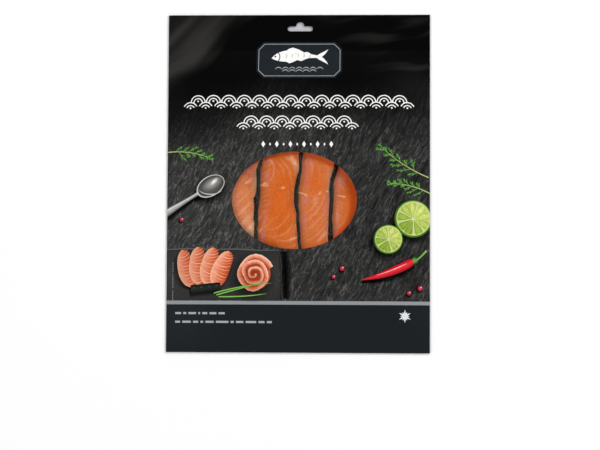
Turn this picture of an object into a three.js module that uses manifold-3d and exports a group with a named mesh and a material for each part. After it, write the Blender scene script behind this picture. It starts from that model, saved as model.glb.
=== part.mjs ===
// A retail pack of smoked salmon: a flat printed card wallet with a hang slot and an oval window,
// and in it four shingled slices, each with a nori edge, under a clear vacuum film.
// Millimetres. The pack lies on its back: +Z is up out of the printed front, +Y runs towards the
// hang slot and +X to the right of the front. The origin is under the middle of the back.
import * as THREE from "three";
import { mergeVertices } from "three/addons/utils/BufferGeometryUtils.js";
import Module from "manifold-3d";

const { clamp, lerp, smoothstep } = THREE.MathUtils;

// Driving dimensions.
const GAP = 0.3; // clearance between neighbouring pieces
const WALLET = {
  width: 190,
  height: 245,
  board: 0.5, // one layer of card
  seam: 1.3, // two glued layers, along the sides and in the header
  middle: 9, // over the product
  ramp: 40, // from a folded edge up to the full thickness
  header: 26, // flat strip that carries the hang slot
};
const WINDOW = { x: -2.4, y: -13.2, halfWidth: 44.9, halfHeight: 35.1, segments: 72 };
const SLOT = {
  x: 0.9,
  fromTop: 11.9, // lower edge of the bar, below the top of the pack
  barWidth: 18.3,
  barHeight: 3.6,
  hookWidth: 5.8, // the bump that centres the hook
  totalHeight: 6.7,
};
const SLICE = {
  tip: 0.9, // thickness of the hidden end that tapers out under the neighbour
  thickness: 2.7,
  freeEdge: 2.2, // thickness at the outermost left edge
  overlap: 14, // how far a slice runs on under its left neighbour
  lead: 3, // where the neighbour above starts to lift over that end
  endBow: 9, // how far the corners fall back from the rounded ends
};
const NORI = 0.4; // thickness of the seaweed sheet
const FILM = { thickness: 0.2, margin: 6, past: 3 };

const BED = WALLET.board + GAP; // height at which the slices lie
const TOP_EDGE = WALLET.height / 2;
const HEADER_CREASE = TOP_EDGE - WALLET.header;

// The long edges between the slices, from left to right, each as rows of [y, x, width seen from above].
// The three inner ones carry nori.
const EDGES = [
  [[-80, -72, 1.2], [-12, -75, 1.2], [56, -69, 1.2]],
  [
    [-80, -32, 2.4], [-41, -30.1, 2.6], [-33, -30.4, 2.2], [-27, -30.6, 2.9], [-21, -30.3, 3], [-15, -29.9, 3.6],
    [-10, -29.8, 3.4], [-5, -28.8, 2.6], [2, -28.6, 2.4], [9, -28.6, 2.8], [14, -27.3, 2.8], [56, -19, 2.6],
  ],
  [
    [-80, 5, 1.8], [-48, 1.6, 1.9], [-42, 0.9, 2.1], [-35, 0.6, 2.1], [-28, -0.1, 2.5], [-22, -0.2, 2.1],
    [-16, -1.2, 3.2], [-9, -1.2, 3.1], [-3, -0.8, 2.8], [3, 0.3, 2.4], [9, 1.6, 1.9], [19, 1.9, 2.8], [56, 6, 2],
  ],
  [
    [-80, 26, 2.6], [-41, 23.4, 3.6], [-35, 23.4, 3.2], [-29, 23.4, 2.8], [-21, 23.5, 2.6], [-13, 24, 2.7],
    [-3, 24, 2.9], [1, 24.2, 2.5], [5, 25.5, 2.6], [9, 26.7, 2.8], [14, 27.9, 3.2], [56, 40, 2.4],
  ],
  [[-80, 55, 1.2], [-12, 53, 1.2], [56, 64, 1.2]],
].map(smoothEdge);
// Where each slice ends, from left to right: [lower end, upper end] along Y.
const SLICE_ENDS = [[-77, 51], [-75, 54], [-78, 52], [-75, 53]];

const LOOKS = {
  card: { color: 0x2a2a29, roughness: 0.5, metalness: 0 },
  salmon: { color: 0xd06a35, roughness: 0.35, metalness: 0 },
  nori: { color: 0x16201c, roughness: 0.6, metalness: 0 },
  film: { color: 0xf4f6f8, roughness: 0.08, metalness: 0, transparent: true, opacity: 0.18 },
};

// One long edge as a function of y: its x and its width.
function smoothEdge(rows) {
  const curve = new THREE.CubicInterpolant(
    rows.map((row) => row[0]),
    rows.flatMap((row) => [row[1], row[2]]),
    2,
    new Float64Array(2),
  );
  return (y) => {
    const [x, width] = curve.evaluate(y);
    return { x, half: width / 2 };
  };
}

// A closed solid over a grid: place(column, row, layer) says where each point of the upper (layer 1)
// and the lower face (layer 0) goes. Both faces are split into triangles alike.
function gridSolid(columns, rows, place) {
  const grid = new THREE.PlaneGeometry(columns, rows, columns, rows);
  const flat = grid.attributes.position;
  const points = [];
  for (const layer of [1, 0]) {
    for (let i = 0; i < flat.count; i++) {
      const column = Math.round(flat.getX(i) + columns / 2);
      const row = Math.round(flat.getY(i) + rows / 2);
      points.push(...place(column, row, layer));
    }
  }
  const below = flat.count;
  const faces = [];
  const open = new Map(); // edges that have a triangle on one side only
  for (let i = 0; i < grid.index.count; i += 3) {
    const corners = [0, 1, 2].map((k) => grid.index.getX(i + k));
    faces.push(...corners, ...corners.map((corner) => corner + below).reverse());
    corners.forEach((from, k) => {
      const to = corners[(k + 1) % 3];
      if (!open.delete(`${to} ${from}`)) open.set(`${from} ${to}`, [from, to]);
    });
  }
  for (const [from, to] of open.values()) {
    faces.push(to, from, from + below, to, from + below, to + below);
  }
  const geometry = new THREE.BufferGeometry();
  geometry.setAttribute("position", new THREE.Float32BufferAttribute(points, 3));
  geometry.setIndex(faces);
  return geometry;
}

function part(name, geometry, look) {
  const mesh = new THREE.Mesh(geometry, new THREE.MeshStandardMaterial(look));
  mesh.name = name;
  return mesh;
}

// Grid lines from low to high, close together on the two ramps and wider apart between them.
function gridLines(low, high, ramp, rampSteps, middleSteps) {
  const span = (from, to, steps) => Array.from({ length: steps }, (_, i) => lerp(from, to, i / steps));
  return [
    ...span(low, low + ramp, rampSteps),
    ...span(low + ramp, high - ramp, middleSteps),
    ...span(high - ramp, high, rampSteps),
    high,
  ];
}

// ---- Card wallet ----

// Height of the front's outer face: it arches up from the folded edges and the header's crease,
// and is flat over the product. At the edges the front lies glued on the back.
function frontHeight(x, y) {
  const rise = (distance) => Math.sin((Math.PI / 2) * clamp(distance / WALLET.ramp, 0, 1));
  const crown = rise(WALLET.width / 2 - Math.abs(x)) * rise(y + TOP_EDGE) * rise(HEADER_CREASE - y);
  return lerp(WALLET.seam, WALLET.middle, crown);
}

function frontSheet() {
  const xs = gridLines(-WALLET.width / 2, WALLET.width / 2, WALLET.ramp, 5, 6);
  const ys = [...gridLines(-TOP_EDGE, HEADER_CREASE, WALLET.ramp, 5, 7), TOP_EDGE];
  return gridSolid(xs.length - 1, ys.length - 1, (column, row, layer) => {
    const [x, y] = [xs[column], ys[row]];
    return [x, y, frontHeight(x, y) - (layer ? 0 : WALLET.board)];
  });
}

function windowPunch() {
  const outline = new THREE.Shape();
  outline.absellipse(WINDOW.x, WINDOW.y, WINDOW.halfWidth, WINDOW.halfHeight, 0, 2 * Math.PI);
  return prism(outline, -5, WALLET.middle + 5, WINDOW.segments);
}

// A straight prism with the given outline, between two heights.
function prism(shape, low, high, curveSegments) {
  const depth = high - low;
  return new THREE.ExtrudeGeometry(shape, { depth, bevelEnabled: false, curveSegments }).translate(0, 0, low);
}

// The hang slot: a bar with round ends, and a round bump above its middle.
function slotOutline(outline) {
  const end = SLOT.barHeight / 2;
  const hook = SLOT.hookWidth / 2;
  const low = TOP_EDGE - SLOT.fromTop;
  const left = SLOT.x - SLOT.barWidth / 2 + end;
  const right = SLOT.x + SLOT.barWidth / 2 - end;
  outline.moveTo(left, low);
  outline.absarc(right, low + end, end, -Math.PI / 2, Math.PI / 2);
  outline.lineTo(SLOT.x + hook, low + SLOT.barHeight);
  outline.absarc(SLOT.x, low + SLOT.totalHeight - hook, hook, 0, Math.PI);
  outline.lineTo(SLOT.x - hook, low + SLOT.barHeight);
  outline.absarc(left, low + end, end, Math.PI / 2, (3 * Math.PI) / 2);
  return outline;
}

// The printed front: one arched sheet with the window and the hang slot.
async function frontGeometry() {
  const wasm = await Module();
  wasm.setup();
  const solid = (geometry) => {
    geometry.deleteAttribute("normal");
    geometry.deleteAttribute("uv");
    const merged = mergeVertices(geometry, 1e-4);
    return new wasm.Manifold(
      new wasm.Mesh({
        numProp: 3,
        vertProperties: merged.attributes.position.array,
        triVerts: new Uint32Array(merged.index.array),
      }),
    );
  };
  const cut = solid(frontSheet())
    .subtract(solid(windowPunch()))
    .subtract(solid(prism(slotOutline(new THREE.Shape()), -5, WALLET.seam + 5, 12)))
    .getMesh();
  const geometry = new THREE.BufferGeometry();
  geometry.setAttribute("position", new THREE.BufferAttribute(cut.vertProperties, 3));
  geometry.setIndex(new THREE.BufferAttribute(cut.triVerts, 1));
  return geometry;
}

// The flat back, with the same hang slot.
function backGeometry() {
  const { width, board } = WALLET;
  const sheet = new THREE.Shape();
  sheet.moveTo(-width / 2, -TOP_EDGE).lineTo(width / 2, -TOP_EDGE);
  sheet.lineTo(width / 2, TOP_EDGE).lineTo(-width / 2, TOP_EDGE).closePath();
  sheet.holes.push(slotOutline(new THREE.Path()));
  return prism(sheet, 0, board, 12);
}

// ---- Salmon slices ----

// Height of a slice's upper face. It is low where the slice comes out from under its left neighbour,
// and climbs to the right, where the slice lies on the next one.
function sliceTop(index, x, y) {
  const left = EDGES[index](y).x;
  const right = EDGES[index + 1](y).x;
  const low = BED + (index === 0 ? SLICE.freeEdge : SLICE.thickness);
  if (x < left) {
    return lerp(BED + SLICE.tip, low, smoothstep(x, left - SLICE.overlap, left));
  }
  const isLast = index === SLICE_ENDS.length - 1;
  const high = BED + SLICE.thickness + (isLast ? GAP : SLICE.thickness);
  const ripple = 0.12 * Math.sin(y / 7 + 2 * index) * Math.sin((Math.PI * (x - left)) / (right - left));
  return lerp(low, high, smoothstep(x, left - 6, right + 4)) + ripple;
}

// The slice's columns at one y, from its hidden left end to its cut right edge: [x, is it over the next slice?].
function sliceColumns(index, y) {
  const left = EDGES[index](y).x;
  const right = EDGES[index + 1](y);
  const isLast = index === SLICE_ENDS.length - 1;
  const start = index === 0 ? left : left - SLICE.overlap;
  const lift = right.x - SLICE.overlap; // the next slice's hidden end starts here
  const end = right.x - right.half;
  const columns = index === 0 ? [start, lerp(start, lift, 0.25)] : [start, lerp(start, left, 0.5), left];
  for (const t of [0.4, 0.75]) columns.push(lerp(columns.at(-1), lift - SLICE.lead, t));
  columns.push(lift - SLICE.lead, lift, lerp(lift, end, 0.35), lerp(lift, end, 0.7), end);
  return columns.map((x) => ({ x, raised: !isLast && x >= lift }));
}

function sliceGeometry(index) {
  const [lowEnd, highEnd] = SLICE_ENDS[index];
  const columns = sliceColumns(index, 0).length - 1;
  const rows = 30;
  return gridSolid(columns, rows, (column, row, layer) => {
    const y = rowHeight(lowEnd, highEnd, column / columns, row / rows);
    const { x, raised } = sliceColumns(index, y)[column];
    if (layer) return [x, y, sliceTop(index, x, y)];
    const foot = column === columns ? x + 2 * EDGES[index + 1](y).half : x;
    return [foot, y, raised ? sliceTop(index + 1, foot, y) + GAP : BED];
  });
}

// The y of a grid point: straight rows in the middle, and rounded ends.
function rowHeight(lowEnd, highEnd, across, along) {
  const side = 2 * across - 1;
  const end = 2 * along - 1;
  return lerp(lowEnd, highEnd, along) - end ** 5 * SLICE.endBow * side ** 2;
}

// ---- Nori ----

// The cut edge that a nori strip covers, at one y: its upper and lower corner and the way it faces.
function cutEdge(index, y) {
  const { x, half } = EDGES[index + 1](y);
  const upper = new THREE.Vector2(x - half, sliceTop(index, x - half, y));
  const lower = new THREE.Vector2(x + half, sliceTop(index + 1, x + half, y) + GAP);
  const slope = lower.clone().sub(upper);
  const facing = new THREE.Vector2(-slope.y, slope.x).normalize();
  return { upper, lower, facing };
}

function noriGeometry(index) {
  const [lowEnd, highEnd] = SLICE_ENDS[index];
  const columns = 2;
  const rows = 34;
  return gridSolid(columns, rows, (column, row, layer) => {
    const y = rowHeight(lowEnd, highEnd, 1, row / rows);
    const { upper, lower, facing } = cutEdge(index, y);
    const point = upper.lerp(lower, column / columns).addScaledVector(facing, GAP + layer * NORI);
    return [point.x, y, point.y];
  });
}

// ---- Film ----

// The film's lower face at one y, from left to right, as points of x and z.
function filmSection(y) {
  const above = GAP + 0.1;
  const points = [];
  const onSlice = (index, x) => points.push([x, sliceTop(index, x, y) + above]);
  const first = EDGES[0](y).x;
  points.push([first - FILM.margin, BED], [first - 1.5, sliceTop(0, first, y) + above]);
  SLICE_ENDS.forEach((_, index) => {
    const from = points.at(-1)[0];
    const right = EDGES[index + 1](y).x - EDGES[index + 1](y).half;
    for (const t of [0.3, 0.65]) onSlice(index, lerp(from, right, t));
    if (index === SLICE_ENDS.length - 1) return;
    const { upper, lower, facing } = cutEdge(index, y);
    onSlice(index, upper.x - 1);
    for (const corner of [upper, lower]) {
      points.push(corner.addScaledVector(facing, 2 * GAP + NORI).toArray());
    }
    onSlice(index + 1, lower.x + 1);
  });
  const last = EDGES.at(-1)(y).x;
  onSlice(SLICE_ENDS.length - 1, last + 1.5);
  points.push([last + FILM.margin, BED]);
  return points;
}

function filmGeometry() {
  const low = Math.min(...SLICE_ENDS.map((ends) => ends[0])) - FILM.past;
  const high = Math.max(...SLICE_ENDS.map((ends) => ends[1])) + FILM.past;
  const ys = [low - FILM.margin, ...gridLines(low, high, FILM.margin, 1, 30), high + FILM.margin];
  const columns = filmSection(0).length - 1;
  return gridSolid(columns, ys.length - 1, (column, row, layer) => {
    const y = ys[row];
    const [x, z] = filmSection(clamp(y, low, high))[column];
    const isRim = row === 0 || row === ys.length - 1;
    return [x, y, (isRim ? BED : z) + layer * FILM.thickness];
  });
}

const pack = new THREE.Group();
pack.add(part("wallet_front", await frontGeometry(), LOOKS.card));
pack.add(part("wallet_back", backGeometry(), LOOKS.card));
SLICE_ENDS.forEach((_, index) => {
  pack.add(part(`slice_${index + 1}`, sliceGeometry(index), LOOKS.salmon));
});
SLICE_ENDS.slice(1).forEach((_, index) => {
  pack.add(part(`nori_${index + 1}`, noriGeometry(index), LOOKS.nori));
});
pack.add(part("film", filmGeometry(), LOOKS.film));

export default pack;
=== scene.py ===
"""Smoked salmon pack: the looks of a printed card wallet, its salmon slices, nori and vacuum film.

The wallet lies on its back with the printed front up. Everything is in metres, in the frame of the
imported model, and the artwork on the front is laid out in millimetres from the pack's middle.
"""

import math
from functools import partial

import bmesh
import bpy
import numpy as np
from bpy.props import FloatProperty, FloatVectorProperty, IntProperty, PointerProperty
from mathutils import Matrix, Vector, noise


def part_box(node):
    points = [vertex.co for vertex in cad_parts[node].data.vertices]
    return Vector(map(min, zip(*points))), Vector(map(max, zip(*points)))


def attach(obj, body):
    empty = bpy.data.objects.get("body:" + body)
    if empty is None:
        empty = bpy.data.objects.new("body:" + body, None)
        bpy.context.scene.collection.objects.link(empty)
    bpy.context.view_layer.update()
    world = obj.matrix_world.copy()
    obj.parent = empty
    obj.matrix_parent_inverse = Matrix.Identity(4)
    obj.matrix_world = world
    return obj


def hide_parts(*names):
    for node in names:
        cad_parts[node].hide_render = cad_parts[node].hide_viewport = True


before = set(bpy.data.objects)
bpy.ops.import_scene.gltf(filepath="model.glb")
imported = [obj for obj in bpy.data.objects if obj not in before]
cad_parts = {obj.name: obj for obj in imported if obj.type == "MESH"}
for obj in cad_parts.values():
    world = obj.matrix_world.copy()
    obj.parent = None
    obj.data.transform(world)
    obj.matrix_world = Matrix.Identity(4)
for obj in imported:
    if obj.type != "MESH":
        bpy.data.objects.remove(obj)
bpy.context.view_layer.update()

bl_info = {
    "name": "Smoked Salmon Pack",
    "version": (1, 0, 0),
    "blender": (4, 5, 0),
    "location": "View3D > Sidebar > Salmon Pack",
    "description": "Dresses a card wallet of smoked salmon slices edged with nori",
    "category": "Add Mesh",
}

MM = 0.001
BODY = "root"
SLICES = ("slice_1", "slice_2", "slice_3", "slice_4")
STRIPS = ("nori_1", "nori_2", "nori_3")

FRONT_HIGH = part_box("wallet_front")[1]
HALF_WIDTH, HALF_HEIGHT, THICKNESS = FRONT_HIGH
INK_ROOM = 0.3 * MM  # left over the card for the layers of ink
WELD = 0.002 * MM  # corners of a CAD mesh that lie closer than this are joined
SNAP = 0.0001 * MM  # a cut runs through a corner that lies closer than this
SOFT = {"interpolation_type": "SMOOTHSTEP"}
VARNISH = {"Roughness": 0.42, "Specular IOR Level": 0.045}  # satin, and seldom lit at its mirror angle


def linear(hex_colour):
    """An sRGB hex colour as linear red, green and blue."""
    values = [int(hex_colour[i : i + 2], 16) / 255 for i in (1, 3, 5)]
    return tuple(v / 12.92 if v <= 0.04045 else ((v + 0.055) / 1.055) ** 2.4 for v in values)


def length(name, description, default, **more):
    """One or two lengths that a user may change, in metres."""
    kind = FloatVectorProperty if more else FloatProperty
    return kind(name=name, description=description, default=default, unit="LENGTH", precision=5, **more)


def colour(name, description, default):
    """A colour that a user may change, given as sRGB hex."""
    values = {"subtype": "COLOR", "size": 3, "default": linear(default)}
    return FloatVectorProperty(name=name, description=description, **values)


def count(name, description, default, highest):
    """A whole number that a user may change."""
    return IntProperty(name=name, description=description, default=default, min=0, max=highest)


def power(name, description, default):
    """The power of a light, in watts."""
    return FloatProperty(name=name, description=description, default=default, unit="POWER")


# ---------------------------------------------------------------------------------------------
# Settings
# ---------------------------------------------------------------------------------------------


class WalletSettings(bpy.types.PropertyGroup):
    board: length("Board", "Thickness of one layer of card", 0.0005)
    seam: length("Seam", "Thickness of the flat header and folded edges", 0.0013)
    ramp: length("Ramp", "Distance over which the front arches up from a fold", 0.040)
    header: length("Header", "Height of the flat strip with the hang slot", 0.026)
    grid: length("Grid", "Size of the front panel's faces", 0.0025)
    slack: length("Slack", "How far the front panel waves", 0.00012)
    window_centre: length("Window centre", "Middle of the oval window", (-0.0024, -0.0132), size=2)
    window_half: length("Window half size", "Half the window's width and height", (0.0449, 0.0351), size=2)
    slot_x: length("Slot X", "Middle of the hang slot", 0.0009)
    slot_drop: length("Slot drop", "Lower edge of the slot, below the top edge", 0.0119)
    slot_width: length("Slot width", "Length of the slot's bar", 0.0183)
    slot_height: length("Slot height", "Height of the slot's bar", 0.0036)
    hook_width: length("Hook width", "Width of the bump over the bar", 0.0058)
    hook_height: length("Hook height", "Height of bar and bump together", 0.0067)
    flap: length("Flap", "Width of the flaps glued to the back", 0.016)
    rule_top: length("Line's top", "Upper edge of the line over the bottom field", -0.08545)
    rule_low: length("Line's foot", "Lower edge of the line over the bottom field", -0.08805)
    ground: colour("Ground", "Black ground at the top of the print", "#030303")
    slate_dark: colour("Slate hollows", "Dark tone of the printed slate", "#111111")
    slate_light: colour("Slate planes", "Light tone of the printed slate", "#424241")
    ridge: colour("Slate ridges", "Thin ridges that catch the light", "#80807e")
    linen_dark: colour("Linen hollows", "Dark tone between the printed napkin's folds", "#121211")
    linen_light: colour("Linen folds", "Light tone of the printed napkin's folds", "#302f2d")
    glaze: colour("Glaze", "Faint light in the upper right corner", "#1d1d1c")
    band: colour("Band", "Field along the bottom edge", "#1d2023")
    rule: colour("Rule", "Line over the bottom field", "#8c9093")
    core: colour("Core", "Cut edge of the board", "#b9b4a8")


class SalmonSettings(bpy.types.PropertyGroup):
    cuts: count("Cuts", "How often each CAD edge is cut", 7, 9)
    smoothing: count("Smoothing", "Rounds of smoothing", 14, 100)
    relief: length("Relief", "Depth of the fat lines", 0.00012)
    flesh: colour("Flesh", "Deep orange of the flesh", "#d16618")
    flesh_light: colour("Light flesh", "Lighter orange between fat lines", "#d36e2e")
    fibre: colour("Fibres", "Pale orange of the muscle fibres", "#e38a4c")
    fat: colour("Fat line", "Pale line between two flakes", "#e2a078")
    fat_bright: colour("Strong fat line", "Cream of the broadest fat lines", "#e9b48c")
    # painted shade: the deep orange that stands for the card's shadow on the flesh along the window's edge
    rim: colour("Rim", "Deep orange of the flesh close to the window's edge", "#ea5a14")
    pale: colour("Pale patch", "Fat that shows as a cream patch", "#ecbb9c")
    dull: colour("Dull patch", "Browner, drier flesh", "#ad5c3c")
    vivid: colour("Vivid patch", "Lean and very orange flesh", "#da6714")
    pink: colour("Pink patch", "Pinkish flesh", "#d27e8e")
    rind: colour("Rind", "Greyish fat along the cut edge", "#a8937f")
    warm: colour("Warm patch", "Fat that shows as a light orange patch", "#f0966a")
    # painted shadow that the nori strips cast on the flesh beside them
    nori_shadow: colour("Stain", "Flesh darkened by the nori beside it", "#74422c")


class NoriSettings(bpy.types.PropertyGroup):
    cuts: count("Cuts", "How often each CAD edge is cut", 5, 9)
    ragged: length("Ragged", "How unevenly the strip is cut", 0.0003)
    dark: colour("Dark", "Black-green of the seaweed", "#0b0d08")
    light: colour("Light", "Grey-green fibres", "#2c3022")


class FilmSettings(bpy.types.PropertyGroup):
    cuts: count("Cuts", "How often each CAD edge is cut", 6, 9)
    smoothing: count("Smoothing", "Rounds of smoothing", 6, 100)
    wrinkle: length("Wrinkle", "Height of the film's fine wrinkles", 0.00006)
    crease: length("Crease", "Height of the short creases across the window", 0.00035)
    # painted highlight: the cream tone of the glints along the film's creases
    glint_tone: colour("Whitened film", "Milky tone of stretched film", "#f9c298")


class PrintSettings(bpy.types.PropertyGroup):
    lift: length("Lift", "Height of the lowest ink over the card", 0.00005)
    layer: length("Layer", "Height of one layer of ink", 0.00002)
    cell: length("Cell", "Largest face of an ink shape, so that it follows the card", 0.0025)


class StageSettings(bpy.types.PropertyGroup):
    floor: colour("Floor", "Pale floor", "#f9f9f9")
    # painted shade of the pack on the floor, seen through the hang slot
    painted_floor_shade: colour("Covered floor", "Shaded floor under the pack", "#c0bfc4")
    key: power("Key light", "Power of the light from the upper right", 36)
    fill: power("Fill light", "Power of the soft light from the left", 22)
    world: FloatProperty(name="World", description="Strength of the light from all sides", default=0.9)


# ---------------------------------------------------------------------------------------------
# Helpers for meshes, pieces and materials
# ---------------------------------------------------------------------------------------------


def new_mesh(name, bm):
    mesh = bpy.data.meshes.new(name)
    bm.to_mesh(mesh)
    bm.free()
    return mesh


def new_object(name, data):
    made = bpy.data.objects.new(name, data)
    bpy.context.scene.collection.objects.link(made)
    return made


def to_piece(name, bm, materials, replaces=()):
    """Turns a bmesh into a smooth shaded piece that rides on the pack."""
    piece = new_object(name, new_mesh(name, bm))
    piece.data.shade_smooth()
    for material in materials:
        piece.data.materials.append(material)
    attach(piece, BODY)
    if replaces:
        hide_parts(*replaces)
    return piece


def modify(piece, kind, **settings):
    """Adds a modifier and replaces the piece's mesh by its result, so that no modifier is left."""
    modifier = piece.modifiers.new(kind.lower(), kind)
    for name, value in settings.items():
        setattr(modifier, name, value)
    bpy.context.view_layer.update()
    evaluated = piece.evaluated_get(bpy.context.evaluated_depsgraph_get())
    mesh = bpy.data.meshes.new_from_object(evaluated)
    piece.modifiers.clear()
    old = piece.data
    piece.data = mesh
    mesh.name = piece.name
    bpy.data.meshes.remove(old)


def fine_copy(node_name, piece_name, cuts, rounds, material):
    """A piece in place of a CAD node: its mesh joined, cut fine and softened by rounds of smoothing."""
    bm = bmesh.new()
    bm.from_mesh(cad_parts[node_name].data)
    bmesh.ops.remove_doubles(bm, verts=bm.verts, dist=WELD)
    bmesh.ops.subdivide_edges(bm, edges=bm.edges[:], cuts=cuts, use_grid_fill=True)
    piece = to_piece(piece_name, bm, [material], [node_name])
    if rounds:
        modify(piece, "SMOOTH", factor=0.5, iterations=rounds)
    return piece


def vectors(items, name):
    """A vector of each of a mesh's items, as an array of x, y and z."""
    values = np.empty(len(items) * 3, np.float32)
    items.foreach_get(name, values)
    return values.reshape(-1, 3).astype(float)


def set_positions(mesh, points):
    mesh.vertices.foreach_set("co", points.astype(np.float32).ravel())
    mesh.update()


def set_attribute(mesh, name, values):
    """Stores one number for each point, which a material can read."""
    layer = mesh.attributes.new(name, "FLOAT", "POINT")
    layer.data.foreach_set("value", np.asarray(values, np.float32))


def noise_at(points, scale, seed=0.0):
    """Smooth noise from about -1 to 1 at each point, with features of about 1 / scale metres."""
    shift = Vector((seed, 2.7 * seed, -1.3 * seed))
    return np.array([noise.noise(Vector(p) * scale + shift) for p in points])


def thicken(bm, rise):
    """Turns a flat sheet into a closed solid, by a copy of it that lies higher, or lower below zero."""
    made = bmesh.ops.extrude_face_region(bm, geom=bm.faces[:])
    moved = [v for v in made["geom"] if isinstance(v, bmesh.types.BMVert)]
    bmesh.ops.translate(bm, vec=(0, 0, rise), verts=moved)
    bmesh.ops.recalc_face_normals(bm, faces=bm.faces[:])
    return bm


def node(tree, kind, inputs=(), output=0, **settings):
    """Adds a shader node and returns one output. inputs holds values and sockets, by name or in order."""
    made = tree.nodes.new("ShaderNode" + kind)
    for name, value in settings.items():
        setattr(made, name, value)
    for key, value in inputs.items() if isinstance(inputs, dict) else enumerate(inputs):
        socket = made.inputs[key]
        if isinstance(value, bpy.types.NodeSocket):
            tree.links.new(value, socket)
        else:
            socket.default_value = (*value[:3], 1) if socket.type == "RGBA" else value
    return made.outputs[output] if made.outputs else None


def new_material(name):
    """An empty material, and a function that adds nodes to it."""
    material = bpy.data.materials.new(name)
    material.use_nodes = True
    material.node_tree.nodes.clear()
    return material, partial(node, material.node_tree)


def coats(add, tone, layers, blend="MIX"):
    """Lays colours over a first one, each by its share."""
    for share, coat in layers:
        tone = add("Mix", {0: share, 6: tone, 7: coat}, 2, data_type="RGBA", blend_type=blend)
    return tone


def dress(add, finish, relief=(), cover=None):
    """Ends a material: its finish, a relief with its strength and depth, and the share that it covers."""
    if relief:
        names = ("Height", "Strength", "Distance")
        finish = {**finish, "Normal": add("Bump", dict(zip(names, relief)))}
    shader = add("BsdfPrincipled", finish)
    if cover is not None:
        shader = add("MixShader", (cover, add("BsdfTransparent"), shader))
    add("OutputMaterial", {"Surface": shader})


# ---------------------------------------------------------------------------------------------
# Card wallet
# ---------------------------------------------------------------------------------------------

GROOVE = 0.8 * MM  # half the width of the scored crease under the header
FOOT_GAP = 0.3 * MM  # the back lies a hair above the ground that its flaps rest on
FLAP_TOP = 0.28 * MM
BLEND = 0.1 * MM  # how sharply the plain field and its line end


def crease_lines():
    """The y of the scored crease under the header, between the two ends of its groove."""
    crease = HALF_HEIGHT - bpy.context.scene.salmon_wallet.header
    return (crease - GROOVE, crease, crease + GROOVE)


def front_height(x, y):
    """Height of the front panel's printed face: flat header, scored crease, arched rim and a flat,
    slightly wavy middle."""
    wallet = bpy.context.scene.salmon_wallet

    def rise(distance):
        return math.sin(math.pi / 2 * min(max(distance / wallet.ramp, 0), 1))

    crease = crease_lines()[1]
    crown = rise(HALF_WIDTH - abs(x)) * rise(y + HALF_HEIGHT) * rise(crease - y)
    wave = wallet.slack * crown * (noise.noise(Vector((x * 30, y * 30, 0))) - 1)
    score = 0.12 * MM if abs(y - crease) < 0.1 * MM else 0
    top = (THICKNESS - INK_ROOM - wallet.seam) * crown - INK_ROOM * (1 - crown)
    return wallet.seam + top + wave - score


def oval_punch():
    """A solid that cuts the oval window through the front panel only."""
    wallet = bpy.context.scene.salmon_wallet
    bm = bmesh.new()
    bmesh.ops.create_circle(bm, cap_ends=True, segments=128, radius=1)
    bmesh.ops.scale(bm, vec=(*wallet.window_half, 1), verts=bm.verts)
    bmesh.ops.translate(bm, vec=(*wallet.window_centre, THICKNESS / 2), verts=bm.verts)
    return thicken(bm, THICKNESS)


def slot_punch():
    """A solid that cuts the hang slot: a bar with round ends, and a round bump over its middle."""
    wallet = bpy.context.scene.salmon_wallet
    low = HALF_HEIGHT - wallet.slot_drop
    end = wallet.slot_height / 2
    hook = wallet.hook_width / 2
    corner = low + wallet.slot_height
    arcs = (
        (wallet.slot_width / 2 - end, low + end, end, -90, 90, [(hook, corner)]),
        (0, low + wallet.hook_height - hook, hook, 0, 180, [(-hook, corner)]),
        (-wallet.slot_width / 2 + end, low + end, end, 90, 270, []),
    )
    outline = []
    for x, y, radius, start, stop, next_corner in arcs:
        for angle in np.radians(np.linspace(start, stop, 13)):
            outline.append((x + radius * math.cos(angle), y + radius * math.sin(angle)))
        outline += next_corner
    bm = bmesh.new()
    bm.faces.new([bm.verts.new((x + wallet.slot_x, y, -THICKNESS)) for x, y in outline])
    return thicken(bm, 3 * THICKNESS)


def finish_panel(piece, punches, edge):
    """Cuts the punches out of a panel, rounds its edges a little and bares the board's core: on the
    upright faces round the cut-outs and on the header's top edge."""
    for bm in punches:
        punch = new_object("punch", new_mesh("punch", bm))
        modify(piece, "BOOLEAN", object=punch, operation="DIFFERENCE", solver="EXACT")
        bpy.data.meshes.remove(punch.data)
    rounding = {"limit_method": "ANGLE", "angle_limit": math.radians(50), "harden_normals": True}
    modify(piece, "BEVEL", width=edge, segments=2, **rounding)
    for face in piece.data.polygons if punches else ():
        inside = abs(face.center.x) < HALF_WIDTH - MM and face.center.y > MM - HALF_HEIGHT
        if abs(face.normal.z) < 0.5 and inside:
            face.material_index = 1


def panel_grid(cell):
    """A flat grid of the wallet's outline."""
    bm = bmesh.new()
    cells = {"x_segments": round(2 * HALF_WIDTH / cell), "y_segments": round(2 * HALF_HEIGHT / cell)}
    bmesh.ops.create_grid(bm, size=1, **cells)
    bmesh.ops.scale(bm, vec=(HALF_WIDTH, HALF_HEIGHT, 1), verts=bm.verts)
    return bm


def cut_sheet(bm, axis, place, outside=0):
    """Cuts a sheet along a line, and drops what lies beyond it where a side is given."""
    way = Vector((0, 0, 0))
    way[axis] = 1
    parts = bm.verts[:] + bm.edges[:] + bm.faces[:]
    line = {"plane_co": way * place, "plane_no": way * (outside or 1)}
    bmesh.ops.bisect_plane(bm, geom=parts, dist=SNAP, clear_outer=bool(outside), **line)


def front_panel(materials):
    """The printed front with its oval window and hang slot."""
    wallet = bpy.context.scene.salmon_wallet
    bm = panel_grid(wallet.grid)
    for y in crease_lines():
        cut_sheet(bm, 1, y)
    for vert in bm.verts:
        vert.co.z = front_height(vert.co.x, vert.co.y)
    thicken(bm, -wallet.board)
    piece = to_piece("wallet_front_panel", bm, materials, ["wallet_front"])
    finish_panel(piece, [oval_punch(), slot_punch()], 0.12 * MM)


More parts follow.
